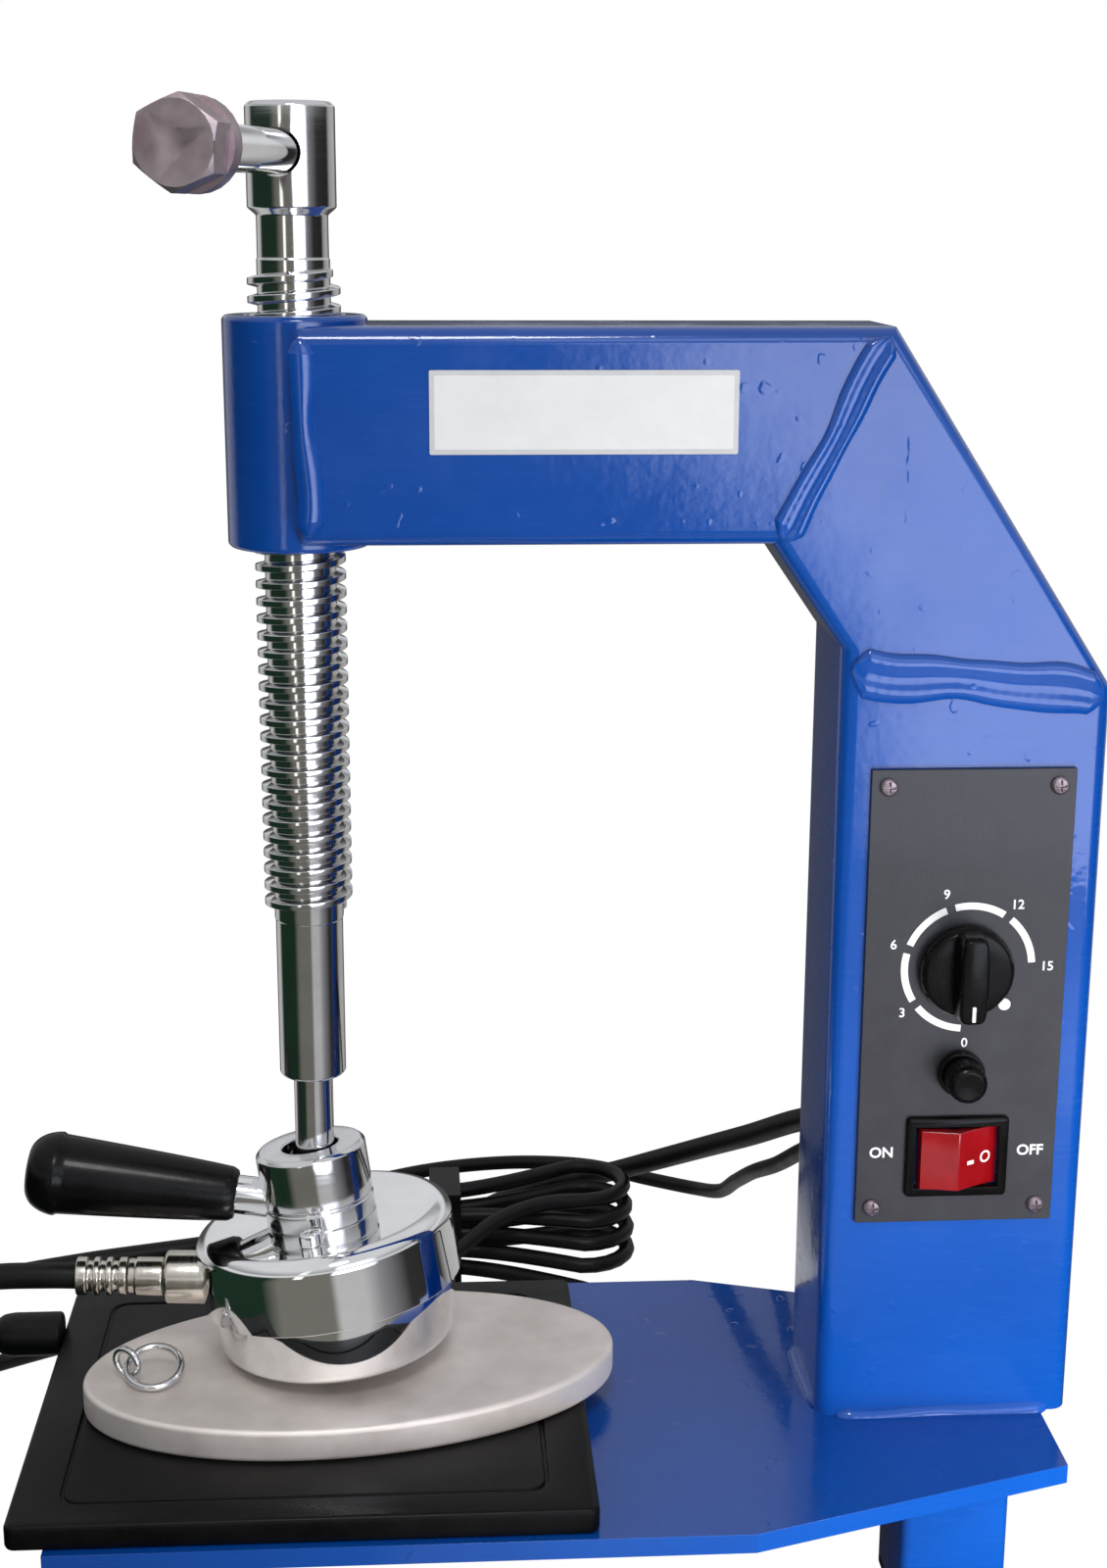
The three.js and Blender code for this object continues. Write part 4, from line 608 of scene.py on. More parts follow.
# Weld beads, painted over: two runs side by side at the elbow and the knee, one at the boss and the
# foot, laid by hand, so their width, height and course wander. The paint fills the ripples, which
# stay as soft rings.
def weld_bead(name, start, end, out, width, height, runs=2, wander=0.1, ripple=3.6):
    """Along the bead the cross-section is a low arch with as many humps as runs. Slow waves move it
    sideways and change its width; quick ones, bent into arcs, are the ripples of the weld pool."""
    start, end, out = (np.array(v, float) for v in (start, end, out))
    along = (end - start) / np.linalg.norm(end - start)
    out /= np.linalg.norm(out)
    across = np.cross(along, out)
    length = np.linalg.norm(end - start)
    s = np.linspace(0, length, int(length / 0.5))[:, None]
    fade = np.sqrt(np.clip(np.minimum(s, length - s) / 4, 0.02, 1))
    half = width / 2 * fade * (1 + wander * np.sin(s / 7.3) + 0.3 * wander * np.sin(s / 3.1 + 1))
    course = wander * width * (np.sin(s / 13.7 + 0.7) + 0.5 * np.sin(s / 6.1))
    share = np.linspace(0, 1, 25)[None, :]
    arch = np.sin(np.pi * share)
    humps = 1 - 0.5 * np.cos(np.pi * runs * share) ** 2 * np.sqrt(np.abs(arch))
    pool = np.sin(2 * np.pi * (s / ripple - 0.35 * arch) + 1.2 * np.sin(s / 8))
    rise = height * fade * np.abs(arch) ** 0.7 * humps * (1 + 0.012 * pool + wander * np.sin(s / 9.1))
    top_side = course - half * np.cos(np.pi * share)
    low_side = course + half * np.linspace(0.9, -0.9, 5)[None, :]
    side = np.concatenate([top_side, low_side], axis=1)
    rise = np.concatenate([rise, np.full_like(low_side, -0.5)], axis=1)
    rows = start + s[..., None] * along + side[..., None] * across + rise[..., None] * out
    return surface(name, rows, weld_paint, "frame", "blue_paint", sharp=70)


boss_weld_x = 3.2
foot_weld_left = 160
foot_weld_right = 227
foot_weld_z = 0.6
foot_weld_half = 19
for side, word in ((-1, "front"), (1, "back")):
    face = side * half_depth
    out = (0, side, 0)
    weld_bead(
        "weld_elbow_" + word, (elbow_outside[0] - 2, face, elbow_outside[1] - 3),
        (elbow_inside[0] + 1.5, face, elbow_inside[1] + 2), out, width=8.5, height=1.8,
    )
    weld_bead(
        "weld_knee_" + word, (knee_inside[0] + 3, face, knee_inside[1] - 5),
        (knee_outside[0] - 3, face, knee_outside[1] - 3), out, width=13.5, height=2,
    )
    weld_bead(
        "weld_boss_" + word, (boss_weld_x, face, arm_bottom + 3), (boss_weld_x, face, arm_top - 3), out,
        width=7, height=2, runs=1, wander=0.14,
    )
    weld_bead(
        "weld_foot_" + word, (foot_weld_left, face, foot_weld_z), (foot_weld_right, face, foot_weld_z),
        (0, side, 1),
        width=6, height=1.6, runs=1,
    )
weld_bead(
    "weld_foot_inside", (column_left, foot_weld_half, foot_weld_z),
    (column_left, -foot_weld_half, foot_weld_z), (-1, 0, 1),
    width=6, height=1.6, runs=1,
)


# Base plate, legs and feet: a flat steel plate with two cut corners on four square tube legs, all in
# the same blue, with black caps on the legs' ends.
softened("base_plate", blue_paint, 0.8, "blue_paint")
for corner in ("front_left", "front_right", "back_left", "back_right"):
    softened("leg_" + corner, blue_paint, 0.3, "blue_paint", 40)
    softened("foot_cap_" + corner, rubber, 0.5, "black_rubber", 40)


# Label on the front of the arm: a thin blank sheet of pale plastic with a silver border and slightly
# rounded corners, stuck flat on the paint.
def upright_sheet(x_range, z_range, depth_range, corner):
    """A thin sheet facing the front: a rounded rectangle, drawn at its back and at its front."""
    x, z = rounded_loop(x_range, z_range, corner, 8)
    return np.stack([np.stack([x, np.full_like(x, y), z], -1) for y in depth_range])


label_silver = moulded_material(
    "label silver", dark=0.6, light=0.68, smooth=0.3, rough=0.42, grain=300, relief=0.05,
)
label_pale = moulded_material(
    "label pale", dark=0.8, light=0.86, smooth=0.35, rough=0.45, grain=300, relief=0.05,
)
label_x = np.array([37.3, 122.5])
label_z = np.array([296.7, 319.6])
label_border = 1.4
surface(
    "label_border", upright_sheet(label_x, label_z, (-half_depth + 0.1, -half_depth - 0.3), 0.5),
    label_silver, "frame", "blue_paint",
)
inset = np.array([label_border, -label_border])
surface(
    "label_field", upright_sheet(label_x + inset, label_z + inset, (-half_depth, -half_depth - 0.36), 0.3),
    label_pale, "frame", "blue_paint",
)


# Spindle: one bar of polished steel with a coarse trapezoidal thread, a plain shank at both ends, a
# thin neck that carries the heater and a thicker head with a cross hole for the sliding bar.
def metal_material(name, dark, light, smooth, rough, stretch, grain, relief, waves=0.0):
    """Bare or plated metal: a grain stretched the way it was worked, patches in its tone and slow waves."""
    material, tree, shader = new_material(name)
    plain = coordinates(tree)
    lines = noise(tree, coordinates(tree, stretch), grain, 4, 0.6)
    patches = noise(tree, plain, 60, 4, 0.6)
    feed(
        shader,
        Metallic=1,
        Base_Color=ramp(tree, patches, (0.3, dark), (0.7, light)),
        Roughness=ramp(tree, lines, (0.3, smooth), (0.7, rough)),
    )
    below = bump(tree, noise(tree, plain, 26, 1, 0.3), waves, 2, shader) if waves else None
    bump(tree, lines, relief, 0.2, shader, below)
    return material


polished_steel = metal_material(
    "polished steel", dark=0.66, light=0.78, smooth=0.07, rough=0.14, stretch=(1, 1, 40), grain=30,
    relief=0.02, waves=0.02,
)
pitch = 5
thread_radius = 13
root_radius = 10.25
crest_width = 1.83
flank_slope = np.radians(15)
thread_low = 157.3
thread_high = 348.5
head_radius = 12.4
head_low = 362
head_high = 390.5
shank_radius = 10
shank_low = 107.6
neck_radius = 5.9
collar_low = (pivot[2] - screw[2]) / mm - seat_height + 10.6
collar_high = collar_low + 5
core = surface(
    "spindle",
    lathe(eased([
        (1, collar_low), (shank_radius, collar_low), (shank_radius, collar_high),
        (neck_radius, collar_high), (neck_radius, shank_low), (shank_radius - 0.8, shank_low),
        (shank_radius, shank_low + 0.8), (shank_radius, thread_low - 0.4), (root_radius, thread_low),
        (root_radius, thread_high), (shank_radius, thread_high + 0.4), (shank_radius, head_low - 1.6),
        (head_radius - 0.5, head_low), (head_radius, head_low + 0.5), (head_radius, head_high - 1.2),
        (head_radius - 1.2, head_high), (1, head_high),
    ], 0.4), 128),
    polished_steel, "spindle", "bright_steel", "spindle_screw",
    sharp=25, place=screw_place,
)


def thread_ridge(steps=72, rounding=0.22):
    """The ridge is a bar with sloping flanks wound round the axis: it turns once and rises by one
    pitch in so many steps, and sinks into the core at both ends."""
    depth = thread_radius - root_radius
    half_crest = crest_width / 2
    half_root = half_crest + depth * np.tan(flank_slope)
    section = eased([
        (root_radius - 0.6, -half_root), (root_radius, -half_root), (thread_radius, -half_crest),
        (thread_radius, half_crest), (root_radius, half_root), (root_radius - 0.6, half_root),
    ], rounding, 3)
    first = np.ceil((thread_low + half_root) / pitch) * steps
    last = np.floor((thread_high - half_root) / pitch) * steps
    k = np.arange(first, last + 1)
    end_fade = np.sqrt(np.clip(np.minimum(k - first, last - k) / (steps / 5), 0, 1))
    drop = (1 - end_fade[:, None]) * depth
    radius = section[:, 0] - drop * (section[:, 0] > root_radius + 0.1)
    angle = (2 * np.pi * k / steps)[:, None]
    height = (k * pitch / steps)[:, None] + section[:, 1]
    return np.stack([radius * np.cos(angle), radius * np.sin(angle), height], -1)


surface(
    "spindle_thread", thread_ridge(), polished_steel, "spindle", "bright_steel",
    sharp=45, place=screw_place,
)
bar_height = head_high - 13.6
bar_turn = np.radians(15.4)
bar_radius = 6
hole_radius = 6.5
bar_place = screw_place @ standing((-np.sin(bar_turn), -np.cos(bar_turn), 0), (0, 0, bar_height))
drill = surface(
    "cross_hole", lathe([(hole_radius, -30), (hole_radius, 30)], 48),
    polished_steel, "spindle", "bright_steel", place=bar_place,
)
drilled = core.modifiers.new("cross hole", "BOOLEAN")
drilled.operation = "DIFFERENCE"
drilled.solver = "EXACT"
drilled.object = drill
drilled_mesh = finished_mesh(core)
core.modifiers.clear()
core.data = drilled_mesh
core.data.set_sharp_from_angle(angle=np.radians(25))
bpy.data.objects.remove(drill)


# Sliding bar: a polished round rod that is pushed through the head to turn the screw. A dark
# hexagon nut is pressed on its front end, and a pin behind the head keeps it from falling out.
plated = metal_material(
    "chrome plating", dark=0.84, light=0.93, smooth=0.03, rough=0.07, stretch=(1, 1, 1), grain=90,
    relief=0.01, waves=0.03,
)
worn_steel = metal_material(
    "worn dark steel", dark=(0.34, 0.26, 0.28), light=(0.56, 0.48, 0.5), smooth=0.36, rough=0.55,
    stretch=(1, 1, 1), grain=260, relief=0.3,
)
bar_back = -23
bar_front = 71
surface(
    "bar",
    lathe(eased([
        (0.5, bar_back), (bar_radius, bar_back), (bar_radius, bar_front), (0.5, bar_front),
    ], 1), 64),
    plated, "turning_bar", "bright_steel", "sliding_bar", place=bar_place,
)
softened("hexagon_cap", worn_steel, 0.5, "dark_steel", 25)
softened("bar_stop_pin", polished_steel, 0.2, "bright_steel")


# Control panel: a sheet of dark grey powder-coated steel, held by four small cross-head screws,
# with a printed dial, its numbers and the two switch words in white.
powder_grey = moulded_material(
    "panel grey", dark=(0.022, 0.022, 0.026), light=(0.034, 0.034, 0.04), smooth=0.38, rough=0.5,
    grain=900, relief=0.14, coat=0.1,
)
white_ink = moulded_material(
    "white ink", dark=0.82, light=0.9, smooth=0.4, rough=0.55, grain=900, relief=0.05,
)
softened("control_panel", powder_grey, 0.25, "panel_grey", 40)
for number in range(1, 5):
    softened(f"panel_screw_{number}", worn_steel, 0.12, "dark_steel")
panel_front = -half_depth - 1.5
print_front = panel_front - 0.05
panel_middle = (column_left + column_right) / 2
dial_centre = np.array([194.1, 146.3])
dial_inner = 17.9
dial_outer = 20.0
number_radius = 23.6
number_step = 54
dial_gap = 4


def on_dial(degrees, radius):
    """Clockwise from straight down."""
    angle = np.radians(degrees)
    return dial_centre[0] - radius * np.sin(angle), dial_centre[1] - radius * np.cos(angle)


for part in range(5):
    bearing = np.linspace(part * number_step + dial_gap, (part + 1) * number_step - dial_gap, 24)
    edges = []
    for radius, y in (
        (dial_inner, panel_front), (dial_inner, print_front),
        (dial_outer, print_front), (dial_outer, panel_front),
    ):
        x, z = on_dial(bearing, radius)
        edges.append(np.stack([x, np.full_like(x, y), z], -1))
    surface(f"dial_arc_{part + 1}", np.stack(edges, 1), white_ink, "frame", "panel_grey")


def lettering(name, text, x, y, z, height, body, slot, turn=0.0, weight=0.014):
    """Printed letters, made a thin mesh, stood upright and turned about the vertical."""
    writing = bpy.data.curves.new(name, "FONT")
    writing.body = text
    writing.size = height * mm
    writing.align_x = "CENTER"
    writing.align_y = "CENTER"
    writing.extrude = 0.02 * mm
    writing.offset = weight * height * mm
    writing.resolution_u = 6
    shape = shown(name, writing)
    mesh = bpy.data.meshes.new_from_object(shape)
    bpy.data.objects.remove(shape)
    upright = Matrix.Rotation(turn, 4, "Z") @ Matrix.Rotation(np.pi / 2, 4, "X")
    mesh.transform(Matrix.Translation(from_screw([x, y, z])) @ upright)
    mesh.materials.clear()
    mesh.materials.append(white_ink)
    piece(name, mesh, body, slot)


for part in range(6):
    x, z = on_dial(part * number_step, number_radius)
    lettering(f"dial_number_{3 * part}", str(3 * part), x, print_front, z, 4, "frame", "panel_grey")
lettering("word_on", "ON", 170.6, print_front, 88, 4.6, "frame", "panel_grey", weight=0.02)
lettering("word_off", "OFF", 215.8, print_front, 88, 4.6, "frame", "panel_grey", weight=0.02)
dot_x = 205.6
dot_z = 134.6
surface(
    "dial_dot", lathe([(1.8, -0.1), (1.8, 0.05)], 40), white_ink, "frame", "panel_grey",
    place=screw_place @ standing((0, -1, 0), (dot_x, panel_front, dot_z)),
)
softened("timer_body", polished_steel, 0.3, "bright_steel")


# Timer knob: moulded black plastic, a round skirt with a high straight grip across it and a white
# line at the grip's lower end, pointing at 0.
knob_height = 145.8
knob_place = screw_place @ standing((0, -1, 0), (panel_middle, panel_front, knob_height))
surface(
    "knob_skirt",
    lathe(eased([(0.5, 0.6), (14, 0.6), (14, 3.2), (12.8, 5.4), (9, 5.6), (0.5, 5.6)], 0.7), 96),
    black_plastic, "knob", "black_plastic", "timer_knob", place=knob_place,
)


def grip_rows():
    """Outlines between an ellipse and a rectangle, of exponent 0.4, rising out of the skirt and drawn
    in at the top."""
    angle = circle(96)
    x = np.sign(np.cos(angle)) * np.abs(np.cos(angle)) ** 0.4 * 4.7
    z = np.sign(np.sin(angle)) * np.abs(np.sin(angle)) ** 0.4 * 13.5
    rise = np.array([5.0, 9.5, 12.0, 12.8, 13.0])
    width_share = np.array([1, 0.93, 0.88, 0.8, 0.68])
    length_share = np.array([1, 0.98, 0.96, 0.93, 0.9])
    return np.stack([
        panel_middle + width_share[:, None] * x,
        np.repeat((panel_front - rise)[:, None], len(angle), axis=1),
        knob_height + length_share[:, None] * z,
    ], -1)


surface("knob_grip", grip_rows(), black_plastic, "knob", "black_plastic", sharp=50)
pointer_z = (133.9, 138.6)
pointer_depth = (-38.3, -38.56)
surface(
    "knob_pointer",
    upright_sheet((panel_middle - 0.5, panel_middle + 0.5), pointer_z, pointer_depth, 0.3),
    white_ink, "knob", "black_plastic",
)


# Fuse holder below the timer: black plastic, a round collar on the panel and a cap that is pressed
# and turned by its ribbed edge to take out the glass fuse inside.
fuse_height = 113.5
fuse_place = screw_place @ standing((0, -1, 0), (panel_middle, panel_front, fuse_height))
surface(
    "fuse_collar",
    lathe(eased([
        (0.5, 2.4), (5.6, 2.4), (5.6, 3), (7, 3), (7, 0), (5.8, 0), (5.8, -30), (0.5, -30),
    ], 0.5), 72),
    black_plastic, "frame", "black_plastic", "fuse_holder", place=fuse_place,
)
cap_outline = eased([
    (0.5, 3.3), (5.8, 3.3), (5.9, 4), (5.9, 10), (5.4, 11.5), (4.6, 12.2), (4, 12.3), (0.5, 11.9),
], 0.3)
cap_rows = lathe(cap_outline, 168)
rib_count = 24
rib_share = 0.03
ribbed = (cap_outline[:, 0] > 5.3)[:, None] * (0.5 + 0.5 * np.cos(rib_count * circle(168)))
cap_rows[..., :2] *= (1 - rib_share * ribbed)[..., None]
surface(
    "fuse_button", cap_rows, black_plastic, "fuse", "black_plastic", "fuse_cap",
    sharp=50, place=fuse_place,
)
fuse_glass = moulded_material(
    "fuse glass", dark=0.7, light=0.8, smooth=0.03, rough=0.06, grain=100, relief=0.02,
)
feed(fuse_glass.node_tree.nodes["Principled BSDF"], Transmission_Weight=0.9)
softened("glass_fuse", fuse_glass, 0.2, "clear_glass")


# Rocker switch: a black bezel snapped into the panel with a glossy red rocker, pressed in on its
# right side, which is OFF. The rocker's two hollow slopes meet in a ridge and carry a dash and a ring.
red_plastic = moulded_material(
    "red plastic", dark=(0.2, 0.002, 0.004), light=(0.29, 0.004, 0.008), smooth=0.1, rough=0.18,
    grain=200, relief=0.03, coat=0.8,
)
switch_height = 86.8
rocker_half = 12.1
rocker_depth = 9.3
rocker_turn = np.radians(9)
ridge_share = -0.12
ridge_rise = 4.4
softened("switch_housing", black_plastic, 0.4, "black_plastic")


def rocker_rise(share):
    """The slopes fall from the ridge to both ends, hollow, by the power 1.25 of the way gone."""
    return 3.0 + ridge_rise * (1 - np.abs(share - ridge_share) / (1 + abs(ridge_share))) ** 1.25


def rocker_place(share, rise):
    """Turned about the rocker's own upright axis, 2 mm behind the panel's front."""
    x = share * rocker_half * np.cos(rocker_turn) + rise * np.sin(rocker_turn)
    y = share * rocker_half * np.sin(rocker_turn) - rise * np.cos(rocker_turn)
    return panel_middle + x, panel_front + 2 + y


share = np.linspace(-1, 1, 61)[:, None]
edge_drop = np.array([3.4, 0.35, 0.1, 0, 0, 0.1, 0.35, 3.4])
edge_z = np.array([-1, -1, -0.99, -0.96, 0.96, 0.99, 1, 1]) * rocker_depth
x, y = rocker_place(share, rocker_rise(share) - edge_drop)
z = np.broadcast_to(switch_height + edge_z, x.shape)
surface(
    "rocker_cap", np.stack([x, y, z], -1), red_plastic, "rocker", "red_plastic", "switch_rocker",
    sharp=50,
)
left_x, left_y = rocker_place(0.1, rocker_rise(0.1))
right_x, right_y = rocker_place(0.8, rocker_rise(0.8))
slope = np.arctan2(right_y - left_y, right_x - left_x)
for name, text, at_share, height, weight in (
    ("dash", "-", 0.24, 8, 0.03), ("ring", "O", 0.68, 5.2, 0.01),
):
    x, y = rocker_place(at_share, rocker_rise(at_share) + 0.08)
    lettering(
        "rocker_" + name, text, x, y, switch_height - 0.4, height, "rocker", "red_plastic",
        turn=slope, weight=weight,
    )


# Lower heater: a cast plate with a satin black coating and a shallow groove round its face. Four
# bolts hold it from below, and its cable comes out on the left through a rubber sleeve.
black_coating = moulded_material(
    "black coating", dark=0.001, light=0.004, smooth=0.3, rough=0.46, grain=1500, relief=0.25,
    sheen=0.16,
)
softened("lower_heater_plate", black_coating, 0.5, "black_coating", 40)
mica = moulded_material(
    "mica", dark=(0.5, 0.42, 0.26), light=(0.62, 0.53, 0.34), smooth=0.5, rough=0.65, grain=500,
    relief=0.2,
)
softened("lower_heating_element", mica, 0.1, "mica")
for number in range(1, 5):
    softened(f"heater_bolt_{number}", polished_steel, 0.3, "bright_steel")
plate_edge = (-84.45, 28, 7.2)
surface(
    "lower_boot",
    lathe(eased([
        (0.5, 0.3), (7, 0.3), (7, 16), (6.4, 19.5), (4.4, 21.9), (3.4, 21.9), (0.5, 21.6),
    ], 1.2), 64),
    rubber, "frame", "black_rubber", "lower_cable_boot",
    place=screw_place @ standing((-1, 0, 0), plate_edge),
)


# Oval pressing plate: a loose slab of ground aluminium with rounded edges that spreads the heat over
# a patch, with a small eye and a split ring to pull it out by.
def ground_material():
    """Fine straight grinding lines across the plate, a little rosy, with stains in the gloss."""
    material, tree, shader = new_material("ground aluminium")
    lines = noise(tree, coordinates(tree, (1, 14, 1), (0, 0, 0.14)), 130, 5, 0.7)
    stains = noise(tree, coordinates(tree), 24, 4, 0.6)
    feed(
        shader,
        Metallic=0.6,
        Base_Color=ramp(tree, stains, (0.32, (0.7, 0.63, 0.58)), (0.68, (0.97, 0.9, 0.84))),
        Roughness=ramp(tree, stains, (0.3, 0.42), (0.7, 0.58)),
    )
    bump(tree, lines, 0.6, 0.15, shader)
    return material


aluminium = ground_material()
oval_half_length = 82
oval_half_width = 43
oval_low = 8
oval_high = 18
oval_edge = 1.7
oval_centre = (10.7, -12)
oval_turn = np.radians(8)


def oval_rows(sides=200):
    """Ellipses, drawn in by two quarter rounds at the lower and the upper edge."""
    bend = np.linspace(0, np.pi / 2, 8)
    far = oval_edge * (1 - np.sin(bend))
    near = oval_edge * (1 - np.cos(bend))
    inset = np.concatenate([[12], far, near, [4, 12, 26]])
    height = np.concatenate([[oval_low], oval_low + near, oval_high - far, [oval_high] * 3])
    angle = circle(sides)
    x = (oval_half_length - inset)[:, None] * np.cos(angle)
    y = (oval_half_width - inset)[:, None] * np.sin(angle)
    return np.stack([
        oval_centre[0] + x * np.cos(oval_turn) - y * np.sin(oval_turn),
        oval_centre[1] + x * np.sin(oval_turn) + y * np.cos(oval_turn),
        np.repeat(height[:, None], sides, axis=1),
    ], -1)


surface("oval_plate", oval_rows(), aluminium, "oval_plate", "cast_aluminium", "pressing_plate", sharp=40)
wire_steel = metal_material(
    "ring wire", dark=0.6, light=0.74, smooth=0.12, rough=0.22, stretch=(1, 1, 1), grain=300,
    relief=0.08,
)


def ring_piece(name, radius, wire, place, node):
    """A round wire bent into a closed ring: its outline goes once round the ring's axis."""
    around = np.linspace(0, 2 * np.pi, 21)
    outline = np.stack([radius + wire * np.cos(around), wire * np.sin(around)], -1)
    turned_ring(name, outline, 96, wire_steel, "oval_plate", "bright_steel", node, sharp=60, place=place)


wire_radius = 1.1
eye_radius = 4.3
link_radius = 8.1
link_lean = np.radians(20)
link_height = wire_radius + link_radius * np.sin(link_lean)
eye_foot = np.array([-57, -23, oval_high + fit_gap])
ring_piece(
    "eye", eye_radius, wire_radius,
    Matrix.Translation(from_screw(eye_foot + [0, 0, eye_radius + wire_radius]))
    @ Matrix.Rotation(np.radians(-35), 4, "Z") @ Matrix.Rotation(np.pi / 2, 4, "X"),
    "plate_eye",
)
ring_piece(
    "ring", link_radius, wire_radius,
    Matrix.Translation(from_screw(eye_foot + [link_radius, 0, link_height]))
    @ Matrix.Rotation(link_lean, 4, "X"),
    "pull_ring",
)


# Upper heater: a chromed cover with a rolled rim over a chromed block, with the heating element
# between them. Two screws on the cover's top hold the swivel block.
rim_radius = 5
rim_bend = np.linspace(0, np.pi / 2, 14)
turned_ring(
    "heater_cover",
    np.array([
        (12, seam + 9.4), (cover_radius - 1.1, seam + 9.4), (cover_radius - 1.1, seam + 0.2),
        (cover_radius - 0.9, seam), (cover_radius - 0.35, seam), (cover_radius, seam + 0.35),
        *zip(cover_radius - rim_radius + rim_radius * np.cos(rim_bend),
             cover_top - rim_radius + rim_radius * np.sin(rim_bend)),
        (cover_radius - rim_radius - 4, cover_top), (12, cover_top), (12, seam + 9.4),
    ]),
    192, plated, "upper_heater", "chrome", "heater_upper_cover", sharp=30, place=cover_place,
)
surface(
    "heater_block",
    lathe(eased([
        (1, -17.5), (33.7, -17.5), (36.2, -15.4), (37.9, -0.5), (37.9, 5), (1, 5),
    ], 1.4), 192),
    plated, "upper_heater", "chrome", "heater_lower_block", sharp=30, place=block_place,
)
softened("upper_heating_element", mica, 0.1, "mica")
for number in (1, 2):
    softened(f"cover_screw_{number}", plated, 0.4, "chrome")


# Swivel block: turned steel, standing on the cover and closed over the spindle's collar, with a
# groove near its foot.
swivel_radius = 17
swivel_height = 23
swivel_top = cover_top + swivel_height
swivel_bore = 8.6
seat_room = 11.8
turned_ring(
    "swivel",
    eased([
        (seat_room, cover_top + 8), (seat_room, cover_top), (swivel_radius, cover_top),
        (swivel_radius, cover_top + 5.2), (swivel_radius - 0.5, cover_top + 5.6),
        (swivel_radius - 0.5, cover_top + 6.2), (swivel_radius, cover_top + 6.6),
        (swivel_radius, swivel_top - 1.2), (swivel_radius - 1.2, swivel_top),
        (swivel_bore + 0.4, swivel_top), (swivel_bore, swivel_top - 0.4),
        (swivel_bore, cover_top + 15.4), (seat_room, cover_top + 15.4), (seat_room, cover_top + 8),
    ], 0.4),
    144, polished_steel, "upper_heater", "bright_steel", "swivel_block", sharp=30, place=cover_place,
)
bronze = metal_material(
    "bronze", dark=(0.5, 0.34, 0.14), light=(0.64, 0.46, 0.22), smooth=0.25, rough=0.4,
    stretch=(1, 1, 1), grain=200, relief=0.1,
)
softened("thrust_washer", bronze, 0.2, "bronze")
softened("ball_seat", polished_steel, 0.2, "bright_steel")


# Handle: a chromed rod screwed into the swivel block, with a long black plastic grip that grows
# towards its rounded end.
handle_rise = np.radians(16.5)
handle_place = cover_place @ standing(
    (-np.cos(handle_rise), 0, np.sin(handle_rise)), (-swivel_radius, 0, cover_top + swivel_height * 0.36),
)
rod_radius = 6
rod_sunk = -4.5
rod_end = 36
surface(
    "rod",
    lathe(eased([
        (0.5, rod_sunk), (rod_radius, rod_sunk), (rod_radius, rod_end), (0.5, rod_end),
    ], 0.4), 64),
    plated, "upper_heater", "chrome", "handle_rod", place=handle_place,
)
grip_start = 8
grip_length = 64
grip_thin = 8
grip_thick = 12.8
way = np.linspace(0.03, 0.84, 26)
tip = np.linspace(0.1, np.pi / 2 - 0.05, 12)
grip_outline = [
    (0.5, grip_start), (6.6, grip_start), (7.4, grip_start + 0.3),
    *zip(grip_thin + (grip_thick - grip_thin) * way**0.8, grip_start + grip_length * way),
    *zip(grip_thick - 7 * (1 - np.cos(tip)), grip_start + grip_length * (0.84 + 0.16 * np.sin(tip))),
    (0.5, grip_start + grip_length),
]
surface(
    "grip", lathe(grip_outline, 96), black_plastic, "upper_heater", "black_plastic", "handle_grip",
    sharp=40, place=handle_place,
)


# Heater connector: a nickel-plated socket nut on the cover, a plug shell and a sleeve with turned
# rings that grips the cable.
nickel = metal_material(
    "nickel plating", dark=(0.6, 0.56, 0.49), light=(0.76, 0.72, 0.65), smooth=0.14, rough=0.26,
    stretch=(30, 1, 1), grain=60, relief=0.06,
)
surface(
    "socket", lathe(eased([(0.5, -4), (8.2, -4), (8.2, 10.2), (7.6, 10.9), (0.5, 10.9)], 0.5), 72),
    nickel, "upper_heater", "nickel", "heater_socket", place=plug_place,
)
shell_start = nut_length + fit_gap
surface(
    "shell",
    lathe(eased([
        (0.5, shell_start), (5.5, shell_start), (6, shell_start + 0.6), (6, shell_start + 8.4),
        (5.5, shell_start + 8.9), (5.5, shell_start + 10.9), (0.5, shell_start + 10.9),
    ], 0.4), 72),
    nickel, "upper_heater", "nickel", "plug_shell", place=plug_place,
)
sleeve_start = nut_length + shell_length + 2 * fit_gap
sleeve_rings = 4
ring_step = boot_length / sleeve_rings
ring_outline = [(0.5, sleeve_start), (5.9, sleeve_start)]
for ring in range(1, sleeve_rings):
    middle = sleeve_start + ring * ring_step
    ring_outline += [
        (5.9, middle - 0.4 * ring_step), (4.7, middle - 0.3 * ring_step),
        (4.7, middle + 0.1 * ring_step), (5.9, middle + 0.2 * ring_step),
    ]
ring_outline += [(5.9, sleeve_start + boot_length), (0.5, sleeve_start + boot_length)]
surface(
    "sleeve", lathe(eased(ring_outline, 0.35), 72), nickel, "upper_heater", "nickel", "plug_boot",
    place=plug_place,
)


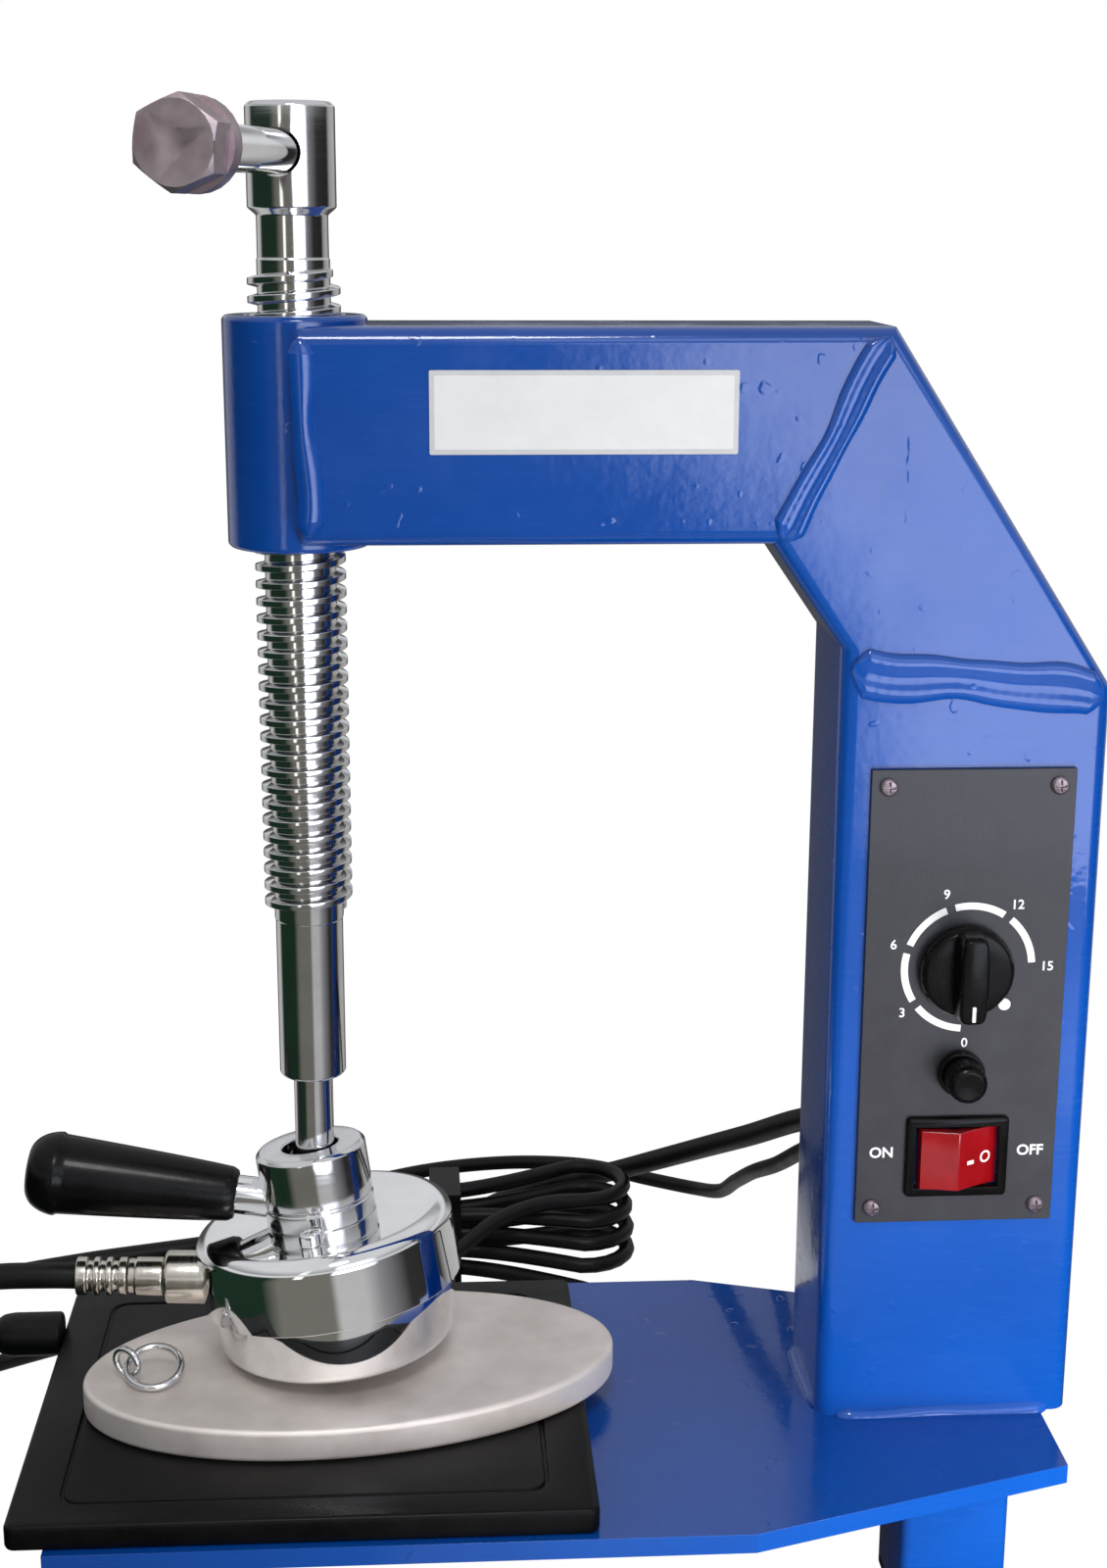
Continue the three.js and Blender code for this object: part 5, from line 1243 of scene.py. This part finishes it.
# Bench and room: the camera sees a plain white table and a plain white room. Reflections see bands
# round the machine, fainter in the table: dark behind with light walls beside it, dark green on the
# left, grey with a narrow and a wide window in front, and nearly black on the right.
def room_bands(tree, direction, window, table=False):
    """Tones by compass bearing, as shares of a turn: 0 is behind the machine, 0.25 its left, 0.5 the
    front, 0.75 its right."""
    turn = tree.nodes.new("ShaderNodeMapping")
    feed(turn, Vector=direction, Rotation=(0, 0, np.pi / 2))
    bearing = tree.nodes.new("ShaderNodeTexGradient")
    bearing.gradient_type = "RADIAL"
    feed(bearing, Vector=turn.outputs["Vector"])
    front = (0.17, 0.165, 0.145)
    behind = 0.08
    strip = front if table else (1.6, 1.6, 1.5)
    green = (0.012, 0.03, 0.018)
    return ramp(
        tree, bearing.outputs["Fac"],
        (0.0, behind), (0.07, behind), (0.11, 0.6), (0.16, 0.5), (0.19, green), (0.36, green),
        (0.4, front), (0.425, front), (0.43, strip), (0.445, strip), (0.45, front),
        (0.515, front), (0.53, window), (0.59, window), (0.63, (0.25, 0.25, 0.27)),
        (0.7, 0.03), (0.8, 0.02), (0.83, 0.4), (0.9, 0.5), (0.94, behind), (1.0, behind),
    )


floor_material, tree, shader = new_material("table")
grain = noise(tree, coordinates(tree), 3, 2)
feed(shader, Base_Color=ramp(tree, grain, (0.3, 0.5), (0.7, 0.54)), Roughness=0.9)
rays = tree.nodes.new("ShaderNodeLightPath")
plain_white = tree.nodes.new("ShaderNodeEmission")
mirrored = tree.nodes.new("ShaderNodeEmission")
around_screw = coordinates(tree, centre=(-screw[0], -screw[1], 0))
feed(mirrored, Color=room_bands(tree, around_screw, (0.5, 0.5, 0.5), table=True))
surface_seen = shader.outputs["BSDF"]
for ray, shown_instead in (("Is Glossy Ray", mirrored), ("Is Camera Ray", plain_white)):
    choice = tree.nodes.new("ShaderNodeMixShader")
    share, otherwise, instead = choice.inputs
    fill(share, rays.outputs[ray])
    fill(otherwise, surface_seen)
    fill(instead, shown_instead.outputs["Emission"])
    surface_seen = choice.outputs["Shader"]
feed(tree.nodes["Material Output"], Surface=surface_seen)
table_half = 0.8
table_mesh = bpy.data.meshes.new("table")
table_corners = np.array([[-1, -1, 0], [1, -1, 0], [1, 1, 0], [-1, 1, 0]]) * table_half
table_mesh.from_pydata(table_corners, [], [(0, 1, 2, 3)])
table_mesh.materials.append(floor_material)
shown("table", table_mesh)

world = bpy.data.worlds.new("room")
world.use_nodes = True
tree = world.node_tree
bpy.context.scene.world = world
direction = tree.nodes.new("ShaderNodeTexCoord").outputs["Generated"]
heights = tree.nodes.new("ShaderNodeSeparateXYZ")
feed(heights, Vector=direction)
walls = room_bands(tree, direction, (4.2, 4.4, 5.2))
overhead = ramp(
    tree, heights.outputs["Z"], (0.1, 0.0), (0.2, 1.0), (0.3, 1.0), (0.38, 0.4), (0.7, 1.0),
)


def blended(share, first, second):
    """The first colour where the share is 0, the second where it is 1. Either is a tone or a socket."""
    node = tree.nodes.new("ShaderNodeMix")
    node.data_type = "RGBA"
    entries = {entry.identifier: entry for entry in node.inputs}
    fill(entries["Factor_Float"], share)
    fill(entries["A_Color"], first)
    fill(entries["B_Color"], second)
    return next(result for result in node.outputs if result.identifier == "Result_Color")


ceiling_tone = (0.68, 0.69, 0.72, 1)
room_light = (0.4, 0.41, 0.44, 1)
white = (1, 1, 1, 1)
rays = tree.nodes.new("ShaderNodeLightPath")
reflected = blended(overhead, walls, ceiling_tone)
lit = blended(rays.outputs["Is Glossy Ray"], room_light, reflected)
seen = blended(rays.outputs["Is Camera Ray"], lit, white)
feed(tree.nodes["Background"], Color=seen)


# Lamps: a low one at the right front lights the column's foot and the legs and doesn't show in the
# metal. A ceiling lamp in front draws the highlights along edges, welds and threads.
def soft_lamp(name, place, target, size, power, mirrored):
    """A glowing disk that faces its target."""
    lamp = bpy.data.lights.new(name, "AREA")
    lamp.shape = "DISK"
    lamp.size = size
    lamp.energy = power
    made = shown(name, lamp)
    place, target = Vector(from_screw(place)), Vector(from_screw(target))
    aim = (target - place).to_track_quat("-Z", "Y").to_matrix().to_4x4()
    made.matrix_world = Matrix.Translation(place) @ aim
    made.visible_camera = False
    made.visible_glossy = mirrored


soft_lamp("right_lamp", (320, -300, -10), (200, -24, 20), size=0.2, power=1.9, mirrored=False)
soft_lamp("ceiling_lamp", (60, -620, 1000), (80, 0, 150), size=0.26, power=3.2, mirrored=True)
bpy.context.scene.view_settings.view_transform = "Standard"
